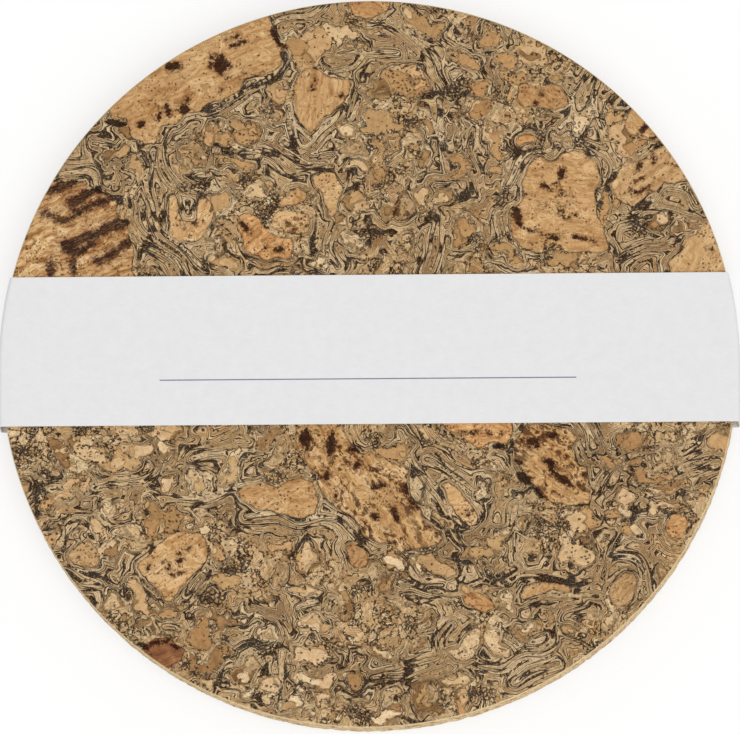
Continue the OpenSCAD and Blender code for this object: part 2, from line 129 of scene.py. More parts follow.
chips = {
    "tan": [
        (-0.64, 0.52, 0.05, 0.012, 85), (-0.595, 0.617, 0.03, 0.02, 0),
        (-0.665, 0.635, 0.028, 0.018, -20), (-0.675, 0.43, 0.035, 0.012, 95),
        (-0.42, 0.335, 0.02, 0.012, 0), (-0.40, 0.285, 0.04, 0.022, -10),
        (-0.38, 0.605, 0.02, 0.013, -20), (-0.41, 0.44, 0.035, 0.03, 20),
        (-0.36, 0.555, 0.05, 0.011, -8), (-0.70, 0.575, 0.03, 0.02, 20), (0.14, 0.94, 0.05, 0.03, -30),
        (0.20, 0.915, 0.03, 0.018, -35), (0.27, 0.83, 0.04, 0.02, -40), (-0.25, 0.74, 0.03, 0.035, -20),
        (0.03, 0.655, 0.045, 0.042, 10), (0.03, 0.545, 0.052, 0.017, 100),
        (-0.03, 0.45, 0.035, 0.032, 0), (0.135, 0.44, 0.045, 0.01, 95), (0.20, 0.46, 0.042, 0.013, 18),
        (0.235, 0.65, 0.045, 0.009, 92), (0.165, 0.66, 0.035, 0.014, 88), (0.29, 0.69, 0.034, 0.03, 90),
        (0.33, 0.61, 0.035, 0.02, 85), (-0.07, 0.385, 0.025, 0.018, -20), (0.16, 0.56, 0.03, 0.014, 80),
        (0.44, 0.86, 0.05, 0.032, -20), (0.39, 0.745, 0.03, 0.016, 85), (0.52, 0.79, 0.025, 0.018, 20),
        (0.59, 0.69, 0.032, 0.01, 80), (0.645, 0.68, 0.04, 0.011, 80), (0.665, 0.645, 0.035, 0.014, 70),
        (0.355, 0.575, 0.018, 0.018, 0), (0.35, 0.52, 0.028, 0.022, 0), (0.38, 0.29, 0.05, 0.018, -12),
        (0.54, 0.285, 0.05, 0.018, 0), (0.695, 0.445, 0.02, 0.02, 0), (0.79, 0.385, 0.03, 0.018, 20),
        (0.70, 0.62, 0.045, 0.028, 70), (-0.82, -0.26, 0.03, 0.02, 90), (-0.85, -0.215, 0.03, 0.018, 0),
        (-0.64, -0.255, 0.045, 0.028, 70), (-0.76, -0.205, 0.03, 0.015, 0),
        (-0.47, -0.33, 0.032, 0.024, -50), (-0.375, -0.295, 0.05, 0.02, 55),
        (-0.545, -0.33, 0.02, 0.012, 60), (-0.585, -0.40, 0.04, 0.02, 90), (-0.71, -0.51, 0.03, 0.02, 0),
        (-0.435, -0.47, 0.03, 0.025, 0), (-0.385, -0.60, 0.042, 0.024, 0),
        (-0.54, -0.69, 0.03, 0.015, 0), (-0.37, -0.70, 0.035, 0.015, 0),
        (-0.40, -0.795, 0.035, 0.025, 60), (-0.475, -0.82, 0.028, 0.018, 90),
        (-0.15, -0.72, 0.038, 0.025, 0), (-0.22, -0.935, 0.035, 0.022, 0),
        (-0.165, -0.97, 0.015, 0.014, 0), (-0.10, -0.975, 0.02, 0.014, 0),
        (-0.05, -0.855, 0.032, 0.022, -30), (-0.035, -0.81, 0.025, 0.016, 0),
        (-0.195, -0.235, 0.038, 0.014, 85), (-0.07, -0.66, 0.03, 0.016, -20),
        (0.07, -0.565, 0.045, 0.024, -45), (0.20, -0.56, 0.045, 0.022, -35),
        (0.30, -0.62, 0.05, 0.012, -5), (0.04, -0.79, 0.028, 0.018, 0), (0.24, -0.87, 0.05, 0.018, 28),
        (0.05, -0.965, 0.04, 0.018, 0), (0.36, -0.485, 0.03, 0.02, 30),
        (0.30, -0.525, 0.055, 0.018, -10), (0.57, -0.445, 0.048, 0.04, 0),
        (0.43, -0.45, 0.026, 0.018, 90), (0.48, -0.72, 0.028, 0.016, 80),
        (0.55, -0.74, 0.028, 0.022, 20), (0.64, -0.27, 0.02, 0.011, -30), (0.72, -0.285, 0.02, 0.014, 0),
        (0.83, -0.215, 0.028, 0.013, 20), (0.71, -0.475, 0.028, 0.018, 20),
        (0.79, -0.60, 0.025, 0.018, 45), (0.65, -0.71, 0.02, 0.016, 0), (0.80, -0.35, 0.07, 0.016, 12),
        (0.67, -0.425, 0.035, 0.012, -25), (0.38, -0.66, 0.02, 0.018, 0), (0.02, 0.97, 0.03, 0.01, 0),
        (0.33, 0.89, 0.03, 0.02, -40)],
    "orange": [
        (-0.43, 0.63, 0.028, 0.026, 20), (-0.165, 0.87, 0.055, 0.045, 0), (0.10, 0.78, 0.07, 0.04, -25),
        (0.24, 0.55, 0.035, 0.015, 80), (0.29, 0.75, 0.035, 0.022, 20), (0.38, 0.825, 0.035, 0.018, 0),
        (0.445, 0.665, 0.024, 0.013, -20), (0.645, 0.42, 0.05, 0.011, 92),
        (0.26, 0.355, 0.03, 0.026, 90), (-0.93, -0.325, 0.022, 0.02, 0),
        (-0.86, -0.365, 0.038, 0.02, 10), (-0.815, -0.32, 0.02, 0.016, 0),
        (-0.78, -0.33, 0.016, 0.016, 0), (-0.69, -0.265, 0.032, 0.028, 0),
        (-0.555, -0.185, 0.05, 0.02, 0), (-0.50, -0.415, 0.028, 0.018, 0),
        (-0.72, -0.455, 0.028, 0.018, 90), (-0.60, -0.445, 0.022, 0.02, 90),
        (-0.635, -0.62, 0.024, 0.02, 0), (-0.61, -0.665, 0.035, 0.018, -35),
        (-0.405, -0.51, 0.022, 0.022, 0), (-0.46, -0.745, 0.042, 0.032, 70),
        (-0.27, -0.885, 0.042, 0.013, 55), (-0.15, -0.79, 0.045, 0.026, -15),
        (-0.13, -0.92, 0.018, 0.016, 0), (0.07, -0.25, 0.034, 0.026, 0),
        (-0.225, -0.51, 0.03, 0.018, -20), (-0.165, -0.56, 0.026, 0.018, 90),
        (-0.17, -0.63, 0.032, 0.016, -25), (0.67, -0.375, 0.03, 0.028, 90),
        (0.70, -0.21, 0.028, 0.026, 0), (0.94, -0.225, 0.025, 0.02, 0), (0.76, -0.32, 0.06, 0.013, 10),
        (0.82, -0.405, 0.05, 0.013, 5), (0.26, -0.93, 0.035, 0.018, 75),
        (-0.12, -0.875, 0.028, 0.024, 0)],
    "pale": [
        (-0.31, 0.48, 0.042, 0.022, -5), (-0.09, 0.905, 0.045, 0.025, -25),
        (0.17, 0.43, 0.026, 0.009, -60), (0.105, 0.325, 0.028, 0.009, 100),
        (-0.185, 0.31, 0.016, 0.01, 0), (-0.13, 0.285, 0.02, 0.02, 0), (-0.03, 0.535, 0.032, 0.016, 0),
        (-0.06, 0.64, 0.035, 0.02, -10), (-0.04, 0.34, 0.028, 0.012, -15),
        (-0.69, -0.385, 0.032, 0.013, 30), (-0.645, -0.475, 0.045, 0.016, 0),
        (-0.77, -0.465, 0.02, 0.012, 60), (-0.705, -0.65, 0.02, 0.018, 0),
        (-0.32, -0.84, 0.02, 0.016, 0), (-0.33, -0.91, 0.024, 0.016, 0),
        (-0.425, -0.875, 0.025, 0.013, 0), (-0.17, -0.865, 0.028, 0.016, 0),
        (-0.19, -0.905, 0.011, 0.01, 0), (-0.25, -0.275, 0.03, 0.011, -35),
        (-0.145, -0.54, 0.035, 0.02, 80), (-0.105, -0.635, 0.014, 0.009, 90),
        (0.13, -0.565, 0.025, 0.01, -40), (0.42, -0.375, 0.022, 0.018, 0),
        (0.66, -0.665, 0.03, 0.013, 115), (0.68, -0.26, 0.012, 0.011, 0),
        (0.785, -0.275, 0.04, 0.011, 0), (0.06, -0.93, 0.028, 0.014, 30),
        (0.17, -0.40, 0.05, 0.008, -55), (-0.575, -0.225, 0.024, 0.016, 90),
        (0.52, -0.49, 0.018, 0.01, -20)],
    "speckled": [
        (-0.34, 0.645, 0.045, 0.033, 0), (0.385, 0.68, 0.028, 0.02, 90), (0.57, 0.665, 0.026, 0.018, 0),
        (-0.85, -0.47, 0.028, 0.024, 0), (-0.43, -0.83, 0.028, 0.026, 0),
        (0.56, -0.53, 0.06, 0.035, -10), (0.42, 0.79, 0.06, 0.02, 0), (-0.545, -0.42, 0.022, 0.022, 0),
        (0.02, -0.275, 0.03, 0.018, 0), (-0.76, -0.245, 0.04, 0.025, 0), (0.745, 0.605, 0.02, 0.014, 0),
        (0.10, 0.78, 0.06, 0.035, -25)],
    "ringed": [
        (-0.48, 0.585, 0.042, 0.026, 5), (0.535, 0.62, 0.026, 0.02, 0), (0.315, 0.706, 0.017, 0.015, 0),
        (0.05, 0.745, 0.035, 0.025, 0), (0.035, 0.44, 0.028, 0.026, 0),
        (-0.345, -0.86, 0.038, 0.022, 10), (0.31, -0.35, 0.022, 0.02, 0), (-0.285, -0.21, 0.03, 0.02, 0),
        (0.16, -0.915, 0.044, 0.04, 70), (-0.625, -0.715, 0.026, 0.021, 0),
        (0.43, -0.735, 0.026, 0.019, 0), (0.14, -0.715, 0.03, 0.012, 0), (0.045, -0.61, 0.028, 0.02, 90),
        (-0.275, -0.745, 0.03, 0.018, 90), (0.85, 0.365, 0.018, 0.014, 40),
        (-0.235, 0.675, 0.025, 0.023, 0), (-0.24, -0.585, 0.03, 0.016, 90),
        (-0.02, 0.87, 0.024, 0.013, 0), (0.07, 0.59, 0.03, 0.014, 80)],
    "slate": [
        (-0.49, 0.475, 0.035, 0.01, -15), (0.02, 0.365, 0.05, 0.018, 5),
        (0.065, 0.515, 0.022, 0.015, 80), (0.235, 0.75, 0.03, 0.012, 20), (-0.45, 0.53, 0.014, 0.01, 0),
        (-0.34, 0.518, 0.018, 0.007, -10), (0.36, 0.335, 0.02, 0.008, 0),
        (-0.38, -0.555, 0.022, 0.012, -35), (-0.38, -0.75, 0.022, 0.014, -45),
        (-0.29, -0.79, 0.02, 0.016, 0), (0.09, -0.725, 0.014, 0.013, 0), (0.36, -0.745, 0.03, 0.007, 0),
        (-0.43, -0.655, 0.03, 0.018, 0), (0.50, -0.46, 0.03, 0.01, -25), (0.75, -0.235, 0.022, 0.009, 0),
        (0.15, -0.23, 0.018, 0.011, 0), (0.29, -0.27, 0.016, 0.013, 0), (-0.68, -0.60, 0.014, 0.01, 0),
        (0.24, -0.68, 0.02, 0.011, 0), (0.57, -0.775, 0.02, 0.008, -20),
        (-0.21, -0.895, 0.014, 0.009, 90), (-0.49, -0.83, 0.012, 0.01, 90),
        (0.47, 0.615, 0.014, 0.012, 0), (0.575, 0.625, 0.016, 0.01, 0), (0.34, 0.73, 0.02, 0.013, 90),
        (0.745, 0.37, 0.03, 0.016, 90), (0.375, 0.43, 0.02, 0.012, 90), (-0.94, -0.235, 0.02, 0.01, 0),
        (-0.94, -0.29, 0.012, 0.01, 0), (-0.87, -0.31, 0.014, 0.008, 0),
        (-0.395, -0.42, 0.016, 0.01, 0)]}

# Lines that the thin layers of the sheet follow
streams = [
    [(-0.90, 0.53), (-0.84, 0.55), (-0.78, 0.55), (-0.745, 0.53), (-0.73, 0.49), (-0.70, 0.465)],
    [(-0.44, 0.70), (-0.52, 0.66), (-0.56, 0.60), (-0.56, 0.54), (-0.53, 0.50), (-0.47, 0.475),
     (-0.42, 0.46)],
    [(-0.62, 0.60), (-0.60, 0.55), (-0.60, 0.50), (-0.585, 0.44), (-0.585, 0.40), (-0.57, 0.36),
     (-0.52, 0.32), (-0.48, 0.28), (-0.44, 0.24)],
    [(-0.65, 0.50), (-0.645, 0.44), (-0.64, 0.38), (-0.62, 0.34), (-0.58, 0.31), (-0.53, 0.27),
     (-0.50, 0.23)],
    [(-0.76, 0.62), (-0.70, 0.61), (-0.64, 0.585), (-0.61, 0.59)],
    [(0.625, 0.76), (0.615, 0.68), (0.63, 0.62), (0.64, 0.57), (0.655, 0.53), (0.64, 0.48),
     (0.63, 0.42),
     (0.65, 0.36), (0.67, 0.30), (0.675, 0.24)],
    [(0.69, 0.74), (0.65, 0.70), (0.635, 0.66)],
    [(0.64, 0.60), (0.67, 0.565), (0.695, 0.54)],
    [(0.66, 0.45), (0.69, 0.415), (0.73, 0.42), (0.77, 0.44), (0.80, 0.485), (0.86, 0.48),
     (0.90, 0.43)],
    [(0.66, 0.37), (0.69, 0.39), (0.74, 0.40), (0.79, 0.41), (0.85, 0.40), (0.91, 0.38)],
    [(0.40, 0.50), (0.43, 0.56), (0.47, 0.59), (0.50, 0.58), (0.53, 0.605), (0.58, 0.60), (0.63, 0.57)],
    [(0.68, 0.26), (0.74, 0.30), (0.80, 0.31), (0.86, 0.36), (0.90, 0.36)],
    [(0.62, 0.79), (0.58, 0.76), (0.56, 0.72), (0.55, 0.68), (0.53, 0.65)],
    [(0.36, 0.92), (0.37, 0.86), (0.36, 0.83)],
    [(0.10, 0.99), (0.14, 0.93), (0.20, 0.88), (0.28, 0.83), (0.34, 0.78)],
    [(0.05, 0.93), (0.10, 0.90), (0.16, 0.85), (0.20, 0.80), (0.22, 0.75)],
    [(-0.27, 0.94), (-0.22, 0.96), (-0.16, 0.965), (-0.11, 0.99)],
    [(-0.22, 0.85), (-0.26, 0.80), (-0.32, 0.76), (-0.38, 0.73), (-0.45, 0.69)],
    [(-0.23, 0.65), (-0.215, 0.60), (-0.19, 0.575), (-0.15, 0.60), (-0.11, 0.65), (-0.06, 0.71),
     (-0.035, 0.78)],
    [(-0.40, 0.57), (-0.33, 0.585), (-0.27, 0.575), (-0.235, 0.55), (-0.19, 0.53), (-0.13, 0.53),
     (-0.10, 0.54)],
    [(-0.20, 0.82), (-0.15, 0.83), (-0.10, 0.80), (-0.03, 0.80), (0.0, 0.84)],
    [(-0.06, 0.56), (-0.065, 0.50), (-0.075, 0.45), (-0.085, 0.39), (-0.10, 0.33), (-0.08, 0.27)],
    [(-0.24, 0.60), (-0.17, 0.56), (-0.10, 0.57)],
    [(0.20, 0.41), (0.18, 0.34), (0.16, 0.25)],
    [(0.15, 0.42), (0.17, 0.49), (0.22, 0.50), (0.28, 0.51), (0.30, 0.47)],
    [(0.18, 0.73), (0.195, 0.65), (0.21, 0.58), (0.22, 0.52)],
    [(0.30, 0.64), (0.29, 0.58), (0.30, 0.53)],
    [(0.375, 0.40), (0.37, 0.35), (0.385, 0.30)],
    [(-0.08, 0.84), (0.0, 0.845), (0.08, 0.84)],
    [(-0.63, -0.60), (-0.58, -0.65), (-0.55, -0.675), (-0.50, -0.67), (-0.46, -0.62), (-0.44, -0.57)],
    [(-0.93, -0.38), (-0.89, -0.34), (-0.84, -0.335), (-0.81, -0.36)],
    [(-0.74, -0.34), (-0.66, -0.335), (-0.60, -0.32), (-0.57, -0.28), (-0.60, -0.24)],
    [(-0.49, -0.34), (-0.46, -0.375), (-0.42, -0.37), (-0.37, -0.345), (-0.33, -0.33)],
    [(-0.46, -0.26), (-0.42, -0.255), (-0.36, -0.24), (-0.31, -0.25)],
    [(-0.80, -0.44), (-0.76, -0.44), (-0.74, -0.50), (-0.73, -0.54)],
    [(-0.86, -0.505), (-0.82, -0.50), (-0.81, -0.45)],
    [(-0.84, -0.555), (-0.78, -0.575), (-0.72, -0.60)],
    [(-0.33, -0.43), (-0.26, -0.42), (-0.20, -0.435), (-0.14, -0.425), (-0.09, -0.44), (-0.05, -0.475),
     (-0.03, -0.50)],
    [(0.10, -0.20), (0.13, -0.28), (0.16, -0.35), (0.20, -0.42), (0.22, -0.48), (0.27, -0.55),
     (0.31, -0.60)],
    [(0.17, -0.27), (0.22, -0.30), (0.28, -0.36), (0.31, -0.43), (0.28, -0.475), (0.23, -0.46),
     (0.20, -0.40)],
    [(0.37, -0.26), (0.385, -0.20), (0.41, -0.16), (0.46, -0.15), (0.53, -0.16), (0.575, -0.20),
     (0.58, -0.26), (0.63, -0.285)],
    [(0.60, -0.17), (0.63, -0.23), (0.66, -0.28), (0.72, -0.32)],
    [(0.62, -0.25), (0.70, -0.30), (0.78, -0.30), (0.86, -0.27), (0.95, -0.25)],
    [(0.74, -0.38), (0.80, -0.36), (0.86, -0.33), (0.94, -0.31)],
    [(0.60, -0.42), (0.63, -0.455), (0.66, -0.46)],
    [(0.63, -0.60), (0.64, -0.55), (0.67, -0.50), (0.70, -0.45), (0.78, -0.43)],
    [(0.65, -0.56), (0.68, -0.545), (0.73, -0.555), (0.755, -0.60), (0.75, -0.65)],
    [(0.39, -0.63), (0.42, -0.605), (0.50, -0.60), (0.56, -0.61), (0.60, -0.60)],
    [(0.40, -0.67), (0.45, -0.645), (0.52, -0.645), (0.58, -0.64), (0.62, -0.65)],
    [(0.50, -0.77), (0.505, -0.72), (0.53, -0.68), (0.58, -0.66)],
    [(0.24, -0.81), (0.33, -0.83), (0.40, -0.80), (0.47, -0.79), (0.50, -0.77)],
    [(0.40, -0.88), (0.46, -0.85), (0.52, -0.82)],
    [(0.02, -0.88), (0.08, -0.86), (0.12, -0.84), (0.19, -0.83), (0.20, -0.78), (0.23, -0.73)],
    [(0.08, -0.89), (0.08, -0.95), (0.12, -1.0)],
    [(-0.09, -0.83), (-0.08, -0.87), (-0.04, -0.89), (0.0, -0.87)],
    [(-0.20, -0.75), (-0.21, -0.80), (-0.20, -0.86), (-0.21, -0.91)],
    [(-0.24, -0.80), (-0.25, -0.86), (-0.26, -0.93)],
    [(-0.37, -0.80), (-0.30, -0.785), (-0.27, -0.80), (-0.25, -0.75), (-0.28, -0.71), (-0.32, -0.74)],
    [(-0.39, -0.88), (-0.34, -0.895), (-0.30, -0.87), (-0.27, -0.82)],
    [(-0.20, -0.70), (-0.20, -0.66), (-0.14, -0.655)],
    [(0.10, -0.62), (0.16, -0.625), (0.22, -0.635), (0.30, -0.60), (0.35, -0.59), (0.40, -0.57)],
    [(0.39, -0.52), (0.36, -0.56), (0.33, -0.585)],
    [(0.39, -0.40), (0.40, -0.46), (0.385, -0.50)],
    [(0.60, -0.38), (0.62, -0.34), (0.64, -0.31)],
    [(0.05, -0.53), (0.09, -0.57), (0.13, -0.61), (0.19, -0.61)],
    [(-0.60, -0.34), (-0.53, -0.37), (-0.48, -0.37)]]

# Dark marks and pits in the slices, as chips are placed
marks = [
    (-0.402, 0.828, 0.027, 0.021, 95), (-0.430, 0.835, 0.019, 0.005, 95),
    (-0.53, 0.825, 0.019, 0.013, 45), (-0.548, 0.71, 0.023, 0.006, 92), (-0.50, 0.703, 0.017, 0.010, 5),
    (-0.491, 0.725, 0.012, 0.005, 95), (-0.57, 0.68, 0.016, 0.0028, 80), (-0.62, 0.66, 0.009, 0.006, 20),
    (-0.69, 0.667, 0.032, 0.011, -12), (-0.335, 0.80, 0.012, 0.003, 40),
    (-0.40, 0.755, 0.006, 0.003, 60), (-0.385, 0.79, 0.008, 0.003, 40),
    (-0.252, 0.90, 0.036, 0.007, -68), (-0.233, 0.875, 0.014, 0.006, -40),
    (-0.35, 0.885, 0.024, 0.005, 15), (-0.37, 0.90, 0.014, 0.004, 0), (0.525, 0.52, 0.013, 0.008, 110),
    (0.403, 0.40, 0.030, 0.010, 102), (0.505, 0.338, 0.013, 0.008, -25), (0.43, 0.31, 0.009, 0.006, 0),
    (0.475, 0.487, 0.006, 0.003, 30), (0.488, 0.478, 0.005, 0.003, 100),
    (0.505, 0.490, 0.007, 0.003, 10), (0.525, 0.466, 0.010, 0.004, 110),
    (0.537, 0.456, 0.008, 0.003, 10), (0.53, 0.405, 0.011, 0.004, 95), (0.553, 0.400, 0.011, 0.004, 15),
    (0.515, 0.425, 0.008, 0.003, 80), (0.49, 0.43, 0.009, 0.002, 0), (0.595, 0.335, 0.028, 0.004, -14),
    (0.56, 0.34, 0.012, 0.003, 10), (0.44, 0.46, 0.012, 0.002, -15), (0.735, 0.466, 0.020, 0.006, 8),
    (0.735, 0.535, 0.009, 0.008, 0), (0.775, 0.548, 0.008, 0.004, 90), (0.75, 0.64, 0.014, 0.005, 45),
    (0.72, 0.615, 0.007, 0.004, 0), (0.775, 0.615, 0.009, 0.003, 20), (0.69, 0.675, 0.006, 0.005, 0),
    (-0.595, -0.555, 0.009, 0.006, 40), (-0.51, -0.536, 0.011, 0.007, 35),
    (-0.541, -0.557, 0.007, 0.0045, 60), (-0.507, -0.574, 0.006, 0.005, 0),
    (-0.535, -0.58, 0.003, 0.0025, 0), (-0.49, -0.51, 0.009, 0.003, 25),
    (-0.557, -0.547, 0.004, 0.003, 40), (-0.577, -0.577, 0.0035, 0.0025, 0),
    (-0.515, -0.52, 0.003, 0.002, 0), (-0.46, -0.495, 0.003, 0.002, 0), (-0.17, -0.21, 0.034, 0.013, 88),
    (-0.104, -0.225, 0.034, 0.012, 80), (0.025, -0.34, 0.018, 0.009, 20),
    (0.10, -0.345, 0.013, 0.009, 90), (0.112, -0.38, 0.020, 0.008, -50),
    (0.07, -0.418, 0.020, 0.007, -75), (0.015, -0.425, 0.011, 0.006, 0),
    (-0.04, -0.24, 0.014, 0.007, -20), (-0.115, -0.31, 0.013, 0.0035, 92),
    (-0.09, -0.36, 0.013, 0.006, 95), (0.01, -0.37, 0.008, 0.004, 20), (-0.03, -0.28, 0.009, 0.004, 30),
    (0.445, -0.225, 0.023, 0.012, -25), (0.495, -0.202, 0.016, 0.007, 8),
    (0.485, -0.275, 0.016, 0.009, -25), (0.522, -0.32, 0.046, 0.009, -38),
    (0.42, -0.322, 0.027, 0.013, -42), (0.405, -0.275, 0.014, 0.007, -25),
    (0.46, -0.36, 0.020, 0.006, -50), (-0.335, 0.375, 0.020, 0.0075, -42),
    (-0.28, 0.318, 0.004, 0.004, 0), (-0.245, 0.315, 0.010, 0.006, 15),
    (-0.158, 0.772, 0.009, 0.004, 100), (-0.148, 0.783, 0.006, 0.003, 60),
    (-0.155, 0.754, 0.006, 0.004, 20), (-0.074, 0.735, 0.008, 0.006, 70),
    (-0.176, 0.373, 0.007, 0.003, 20), (-0.222, 0.385, 0.003, 0.0025, 0),
    (-0.205, 0.372, 0.003, 0.0025, 0), (-0.19, 0.40, 0.003, 0.002, 0), (-0.473, 0.387, 0.005, 0.0035, 0),
    (-0.50, 0.376, 0.009, 0.003, 90), (-0.486, 0.355, 0.007, 0.003, -20),
    (0.352, -0.232, 0.024, 0.008, 6), (0.27, -0.425, 0.011, 0.006, -30),
    (0.262, -0.408, 0.005, 0.003, 0), (0.281, -0.410, 0.006, 0.003, 60),
    (-0.61, -0.775, 0.020, 0.010, -35), (-0.525, -0.775, 0.020, 0.005, -20),
    (-0.56, -0.76, 0.025, 0.004, 8), (0.93, 0.31, 0.006, 0.004, 0), (0.945, 0.32, 0.006, 0.003, 0),
    (0.47, 0.735, 0.005, 0.0035, 0), (0.455, 0.715, 0.006, 0.004, 30)]

# Dark grooves: half width, then the line
grooves = [
    (0.0095, [(-0.88, 0.485), (-0.84, 0.493), (-0.80, 0.503)]),
    (0.0115, [(-0.81, 0.445), (-0.78, 0.465), (-0.735, 0.485)]),
    (0.0070, [(-0.79, 0.42), (-0.76, 0.44), (-0.70, 0.46)]),
    (0.0115, [(-0.83, 0.33), (-0.78, 0.345), (-0.72, 0.372), (-0.66, 0.392)]),
    (0.0095, [(-0.815, 0.312), (-0.79, 0.315), (-0.76, 0.332)]),
    (0.0085, [(-0.735, 0.287), (-0.69, 0.31), (-0.652, 0.338)]),
    (0.0070, [(-0.865, 0.285), (-0.865, 0.255)]),
    (0.0060, [(-0.805, 0.285), (-0.80, 0.255)]),
    (0.0050, [(-0.88, 0.42), (-0.84, 0.40), (-0.80, 0.405)]),
    (0.0022, [(0.41, 0.375), (0.43, 0.365), (0.48, 0.347), (0.50, 0.343)]),
    (0.0028, [(0.49, 0.345), (0.48, 0.33), (0.475, 0.305)]),
    (0.0020, [(-0.20, 0.825), (-0.17, 0.832), (-0.13, 0.825), (-0.10, 0.805)]),
    (0.0018, [(0.205, -0.175), (0.25, -0.19), (0.30, -0.195), (0.35, -0.195), (0.385, -0.205)])]

print("layout: %d chips, %d streams, %d marks" % (sum(map(len, chips.values())), len(streams), len(marks)))


# Distances on the face, all in mm

def ellipseDistance(spots, rows):      # below zero inside the nearest ellipse
    best = np.full(len(spots), 1e3)
    for x, y, halfLength, halfWidth, turn in rows:
        away = spots - np.array((x, y)) * discRadius
        c, s = math.cos(math.radians(turn)), math.sin(math.radians(turn))
        along = away[:, 0] * c + away[:, 1] * s
        across = away[:, 1] * c - away[:, 0] * s
        a, b = halfLength * discRadius, halfWidth * discRadius
        out = np.sqrt((along / a) ** 2 + (across / b) ** 2) + 1e-6
        steep = np.sqrt((along / a ** 2) ** 2 + (across / b ** 2) ** 2) + 1e-6
        best = np.minimum(best, np.maximum(out * (out - 1) / steep, -b))
    return best


def lineDistance(spots, paths):      # to the nearest of several lines
    best = np.full(len(spots), 1e3)
    for path in paths:
        for start, end in zip(path[:-1], path[1:]):
            along = end - start
            share = np.clip((spots - start) @ along / (along @ along), 0, 1)
            gap = spots - start - share[:, None] * along
            best = np.minimum(best, np.hypot(gap[:, 0], gap[:, 1]))
    return best


def insideOutline(spots, outline):      # true where a spot lies in a closed outline
    inside = np.zeros(len(spots), bool)
    x, y = spots[:, 0], spots[:, 1]
    for (ax, ay), (bx, by) in zip(outline, np.roll(outline, -1, axis=0)):
        if ay == by:
            continue
        crosses = (ay > y) != (by > y)
        inside ^= crosses & (x < (bx - ax) * (y - ay) / (by - ay) + ax)
    return inside


# The face is cut into pieces along the outlines of the CAD slices

faceCut = {
    "onRim": 0.02,            # points of an outline this near the rim lie on it
    "outlineBend": 0.3,       # 0 keeps the straight sides of the outlines, 1 rounds them off
    "outlineStep": 0.8,
    "wobble": [(3.6, 0.75), (1.3, 0.35)],      # size and depth of the ragged edge of a slice
    "calmRim": 2,             # the edges wobble less this near the rim
    "step": 0.95,             # mesh spacing
    "fineStep": 0.6,          # the same on the bark
    "rowShare": 0.866,        # rows of points lie this share of a step apart
    "edgeRadius": 0.6,        # rounding of the rim
    "rimRings": (0.2, 0.6, 1.0, 1.7),      # rings of points that carry it, in radii from the rim
    "gridFrom": 2.2,          # where the plain points start, in radii from the rim
    "markRings": (0, 0.55, 1, 1.5),        # rings of points in and round each mark
    "markPoints": 8,
    "markFrom": 2,            # and none of them nearer the rim than this, in radii
    "closest": 0.33,          # points nearer than this to an outline are left out
}


def planOutline(node):      # walks round the lowest face of a CAD node, in mm
    mesh = frame["nodes"][node].data
    low = min(vertex.co.z for vertex in mesh.vertices)
    edges = {}
    for polygon in mesh.polygons:
        corners = [mesh.vertices[i].co for i in polygon.vertices]
        if max(corner.z for corner in corners) > low + 0.01 * mm:
            continue
        keys = [(round(corner.x / mm, 3), round(corner.y / mm, 3)) for corner in corners]
        edges.update({(a, b): True for a, b in zip(keys, keys[1:] + keys[:1])})
    following = {a: b for a, b in edges if (b, a) not in edges}
    here = next(iter(following))
    walk = []
    while here in following:
        walk.append(here)
        here = following.pop(here)
    return np.array(walk)


def closedUp(path, touches):      # ends an outline where it starts, unless it is open at the rim
    return path if touches else np.vstack([path, path[:1]])


def raggedOutline(node):      # the same outline, smoothed and pushed about, open where it meets the rim
    outline = planOutline(node)
    onRim = np.hypot(*outline.T) > discRadius - faceCut["onRim"]
    touches = bool(onRim.any())
    if touches:
        start = next(i for i in range(len(outline)) if onRim[i] and not onRim[(i + 1) % len(outline)])
        outline, onRim = np.roll(outline, -start, axis=0), np.roll(onRim, -start)
        last = next(i for i in range(1, len(outline)) if onRim[i])
        outline = outline[:last + 1]
    path = closedUp(roundedPath(outline, 4, closed=not touches, bend=faceCut["outlineBend"]), touches)
    reach = np.concatenate([[0], np.cumsum(np.hypot(*np.diff(path, axis=0).T))])
    count = max(8, int(reach[-1] / faceCut["outlineStep"]))
    ticks = np.linspace(0, reach[-1], count + 1)
    even = np.column_stack([np.interp(ticks, reach, path[:, k]) for k in (0, 1)])
    if not touches:
        even = even[:-1]
    fade = np.clip((discRadius - np.hypot(*even.T)) / faceCut["calmRim"], 0, 1)[:, None]
    for seed, (size, depth) in enumerate(faceCut["wobble"]):
        even = even + wobble(even, size, depth, 10 + seed) * fade
    if touches:
        for end in (0, -1):
            even[end] *= discRadius / np.hypot(*even[end])
    return even, touches


def closeOverRim(path):      # adds points past the rim, so that the arc between the ends is inside
    first, last = (math.atan2(point[1], point[0]) for point in (path[0], path[-1]))
    sweep = (first - last + math.pi) % math.tau - math.pi
    return np.vstack([path, [onCircle(1.05 * discRadius, last + sweep * k / 12) for k in range(13)]])


outlines = {node: raggedOutline(node) for node in sliceNodes}
fullOutlines = {node: closeOverRim(path) if touches else path
                for node, (path, touches) in outlines.items()}


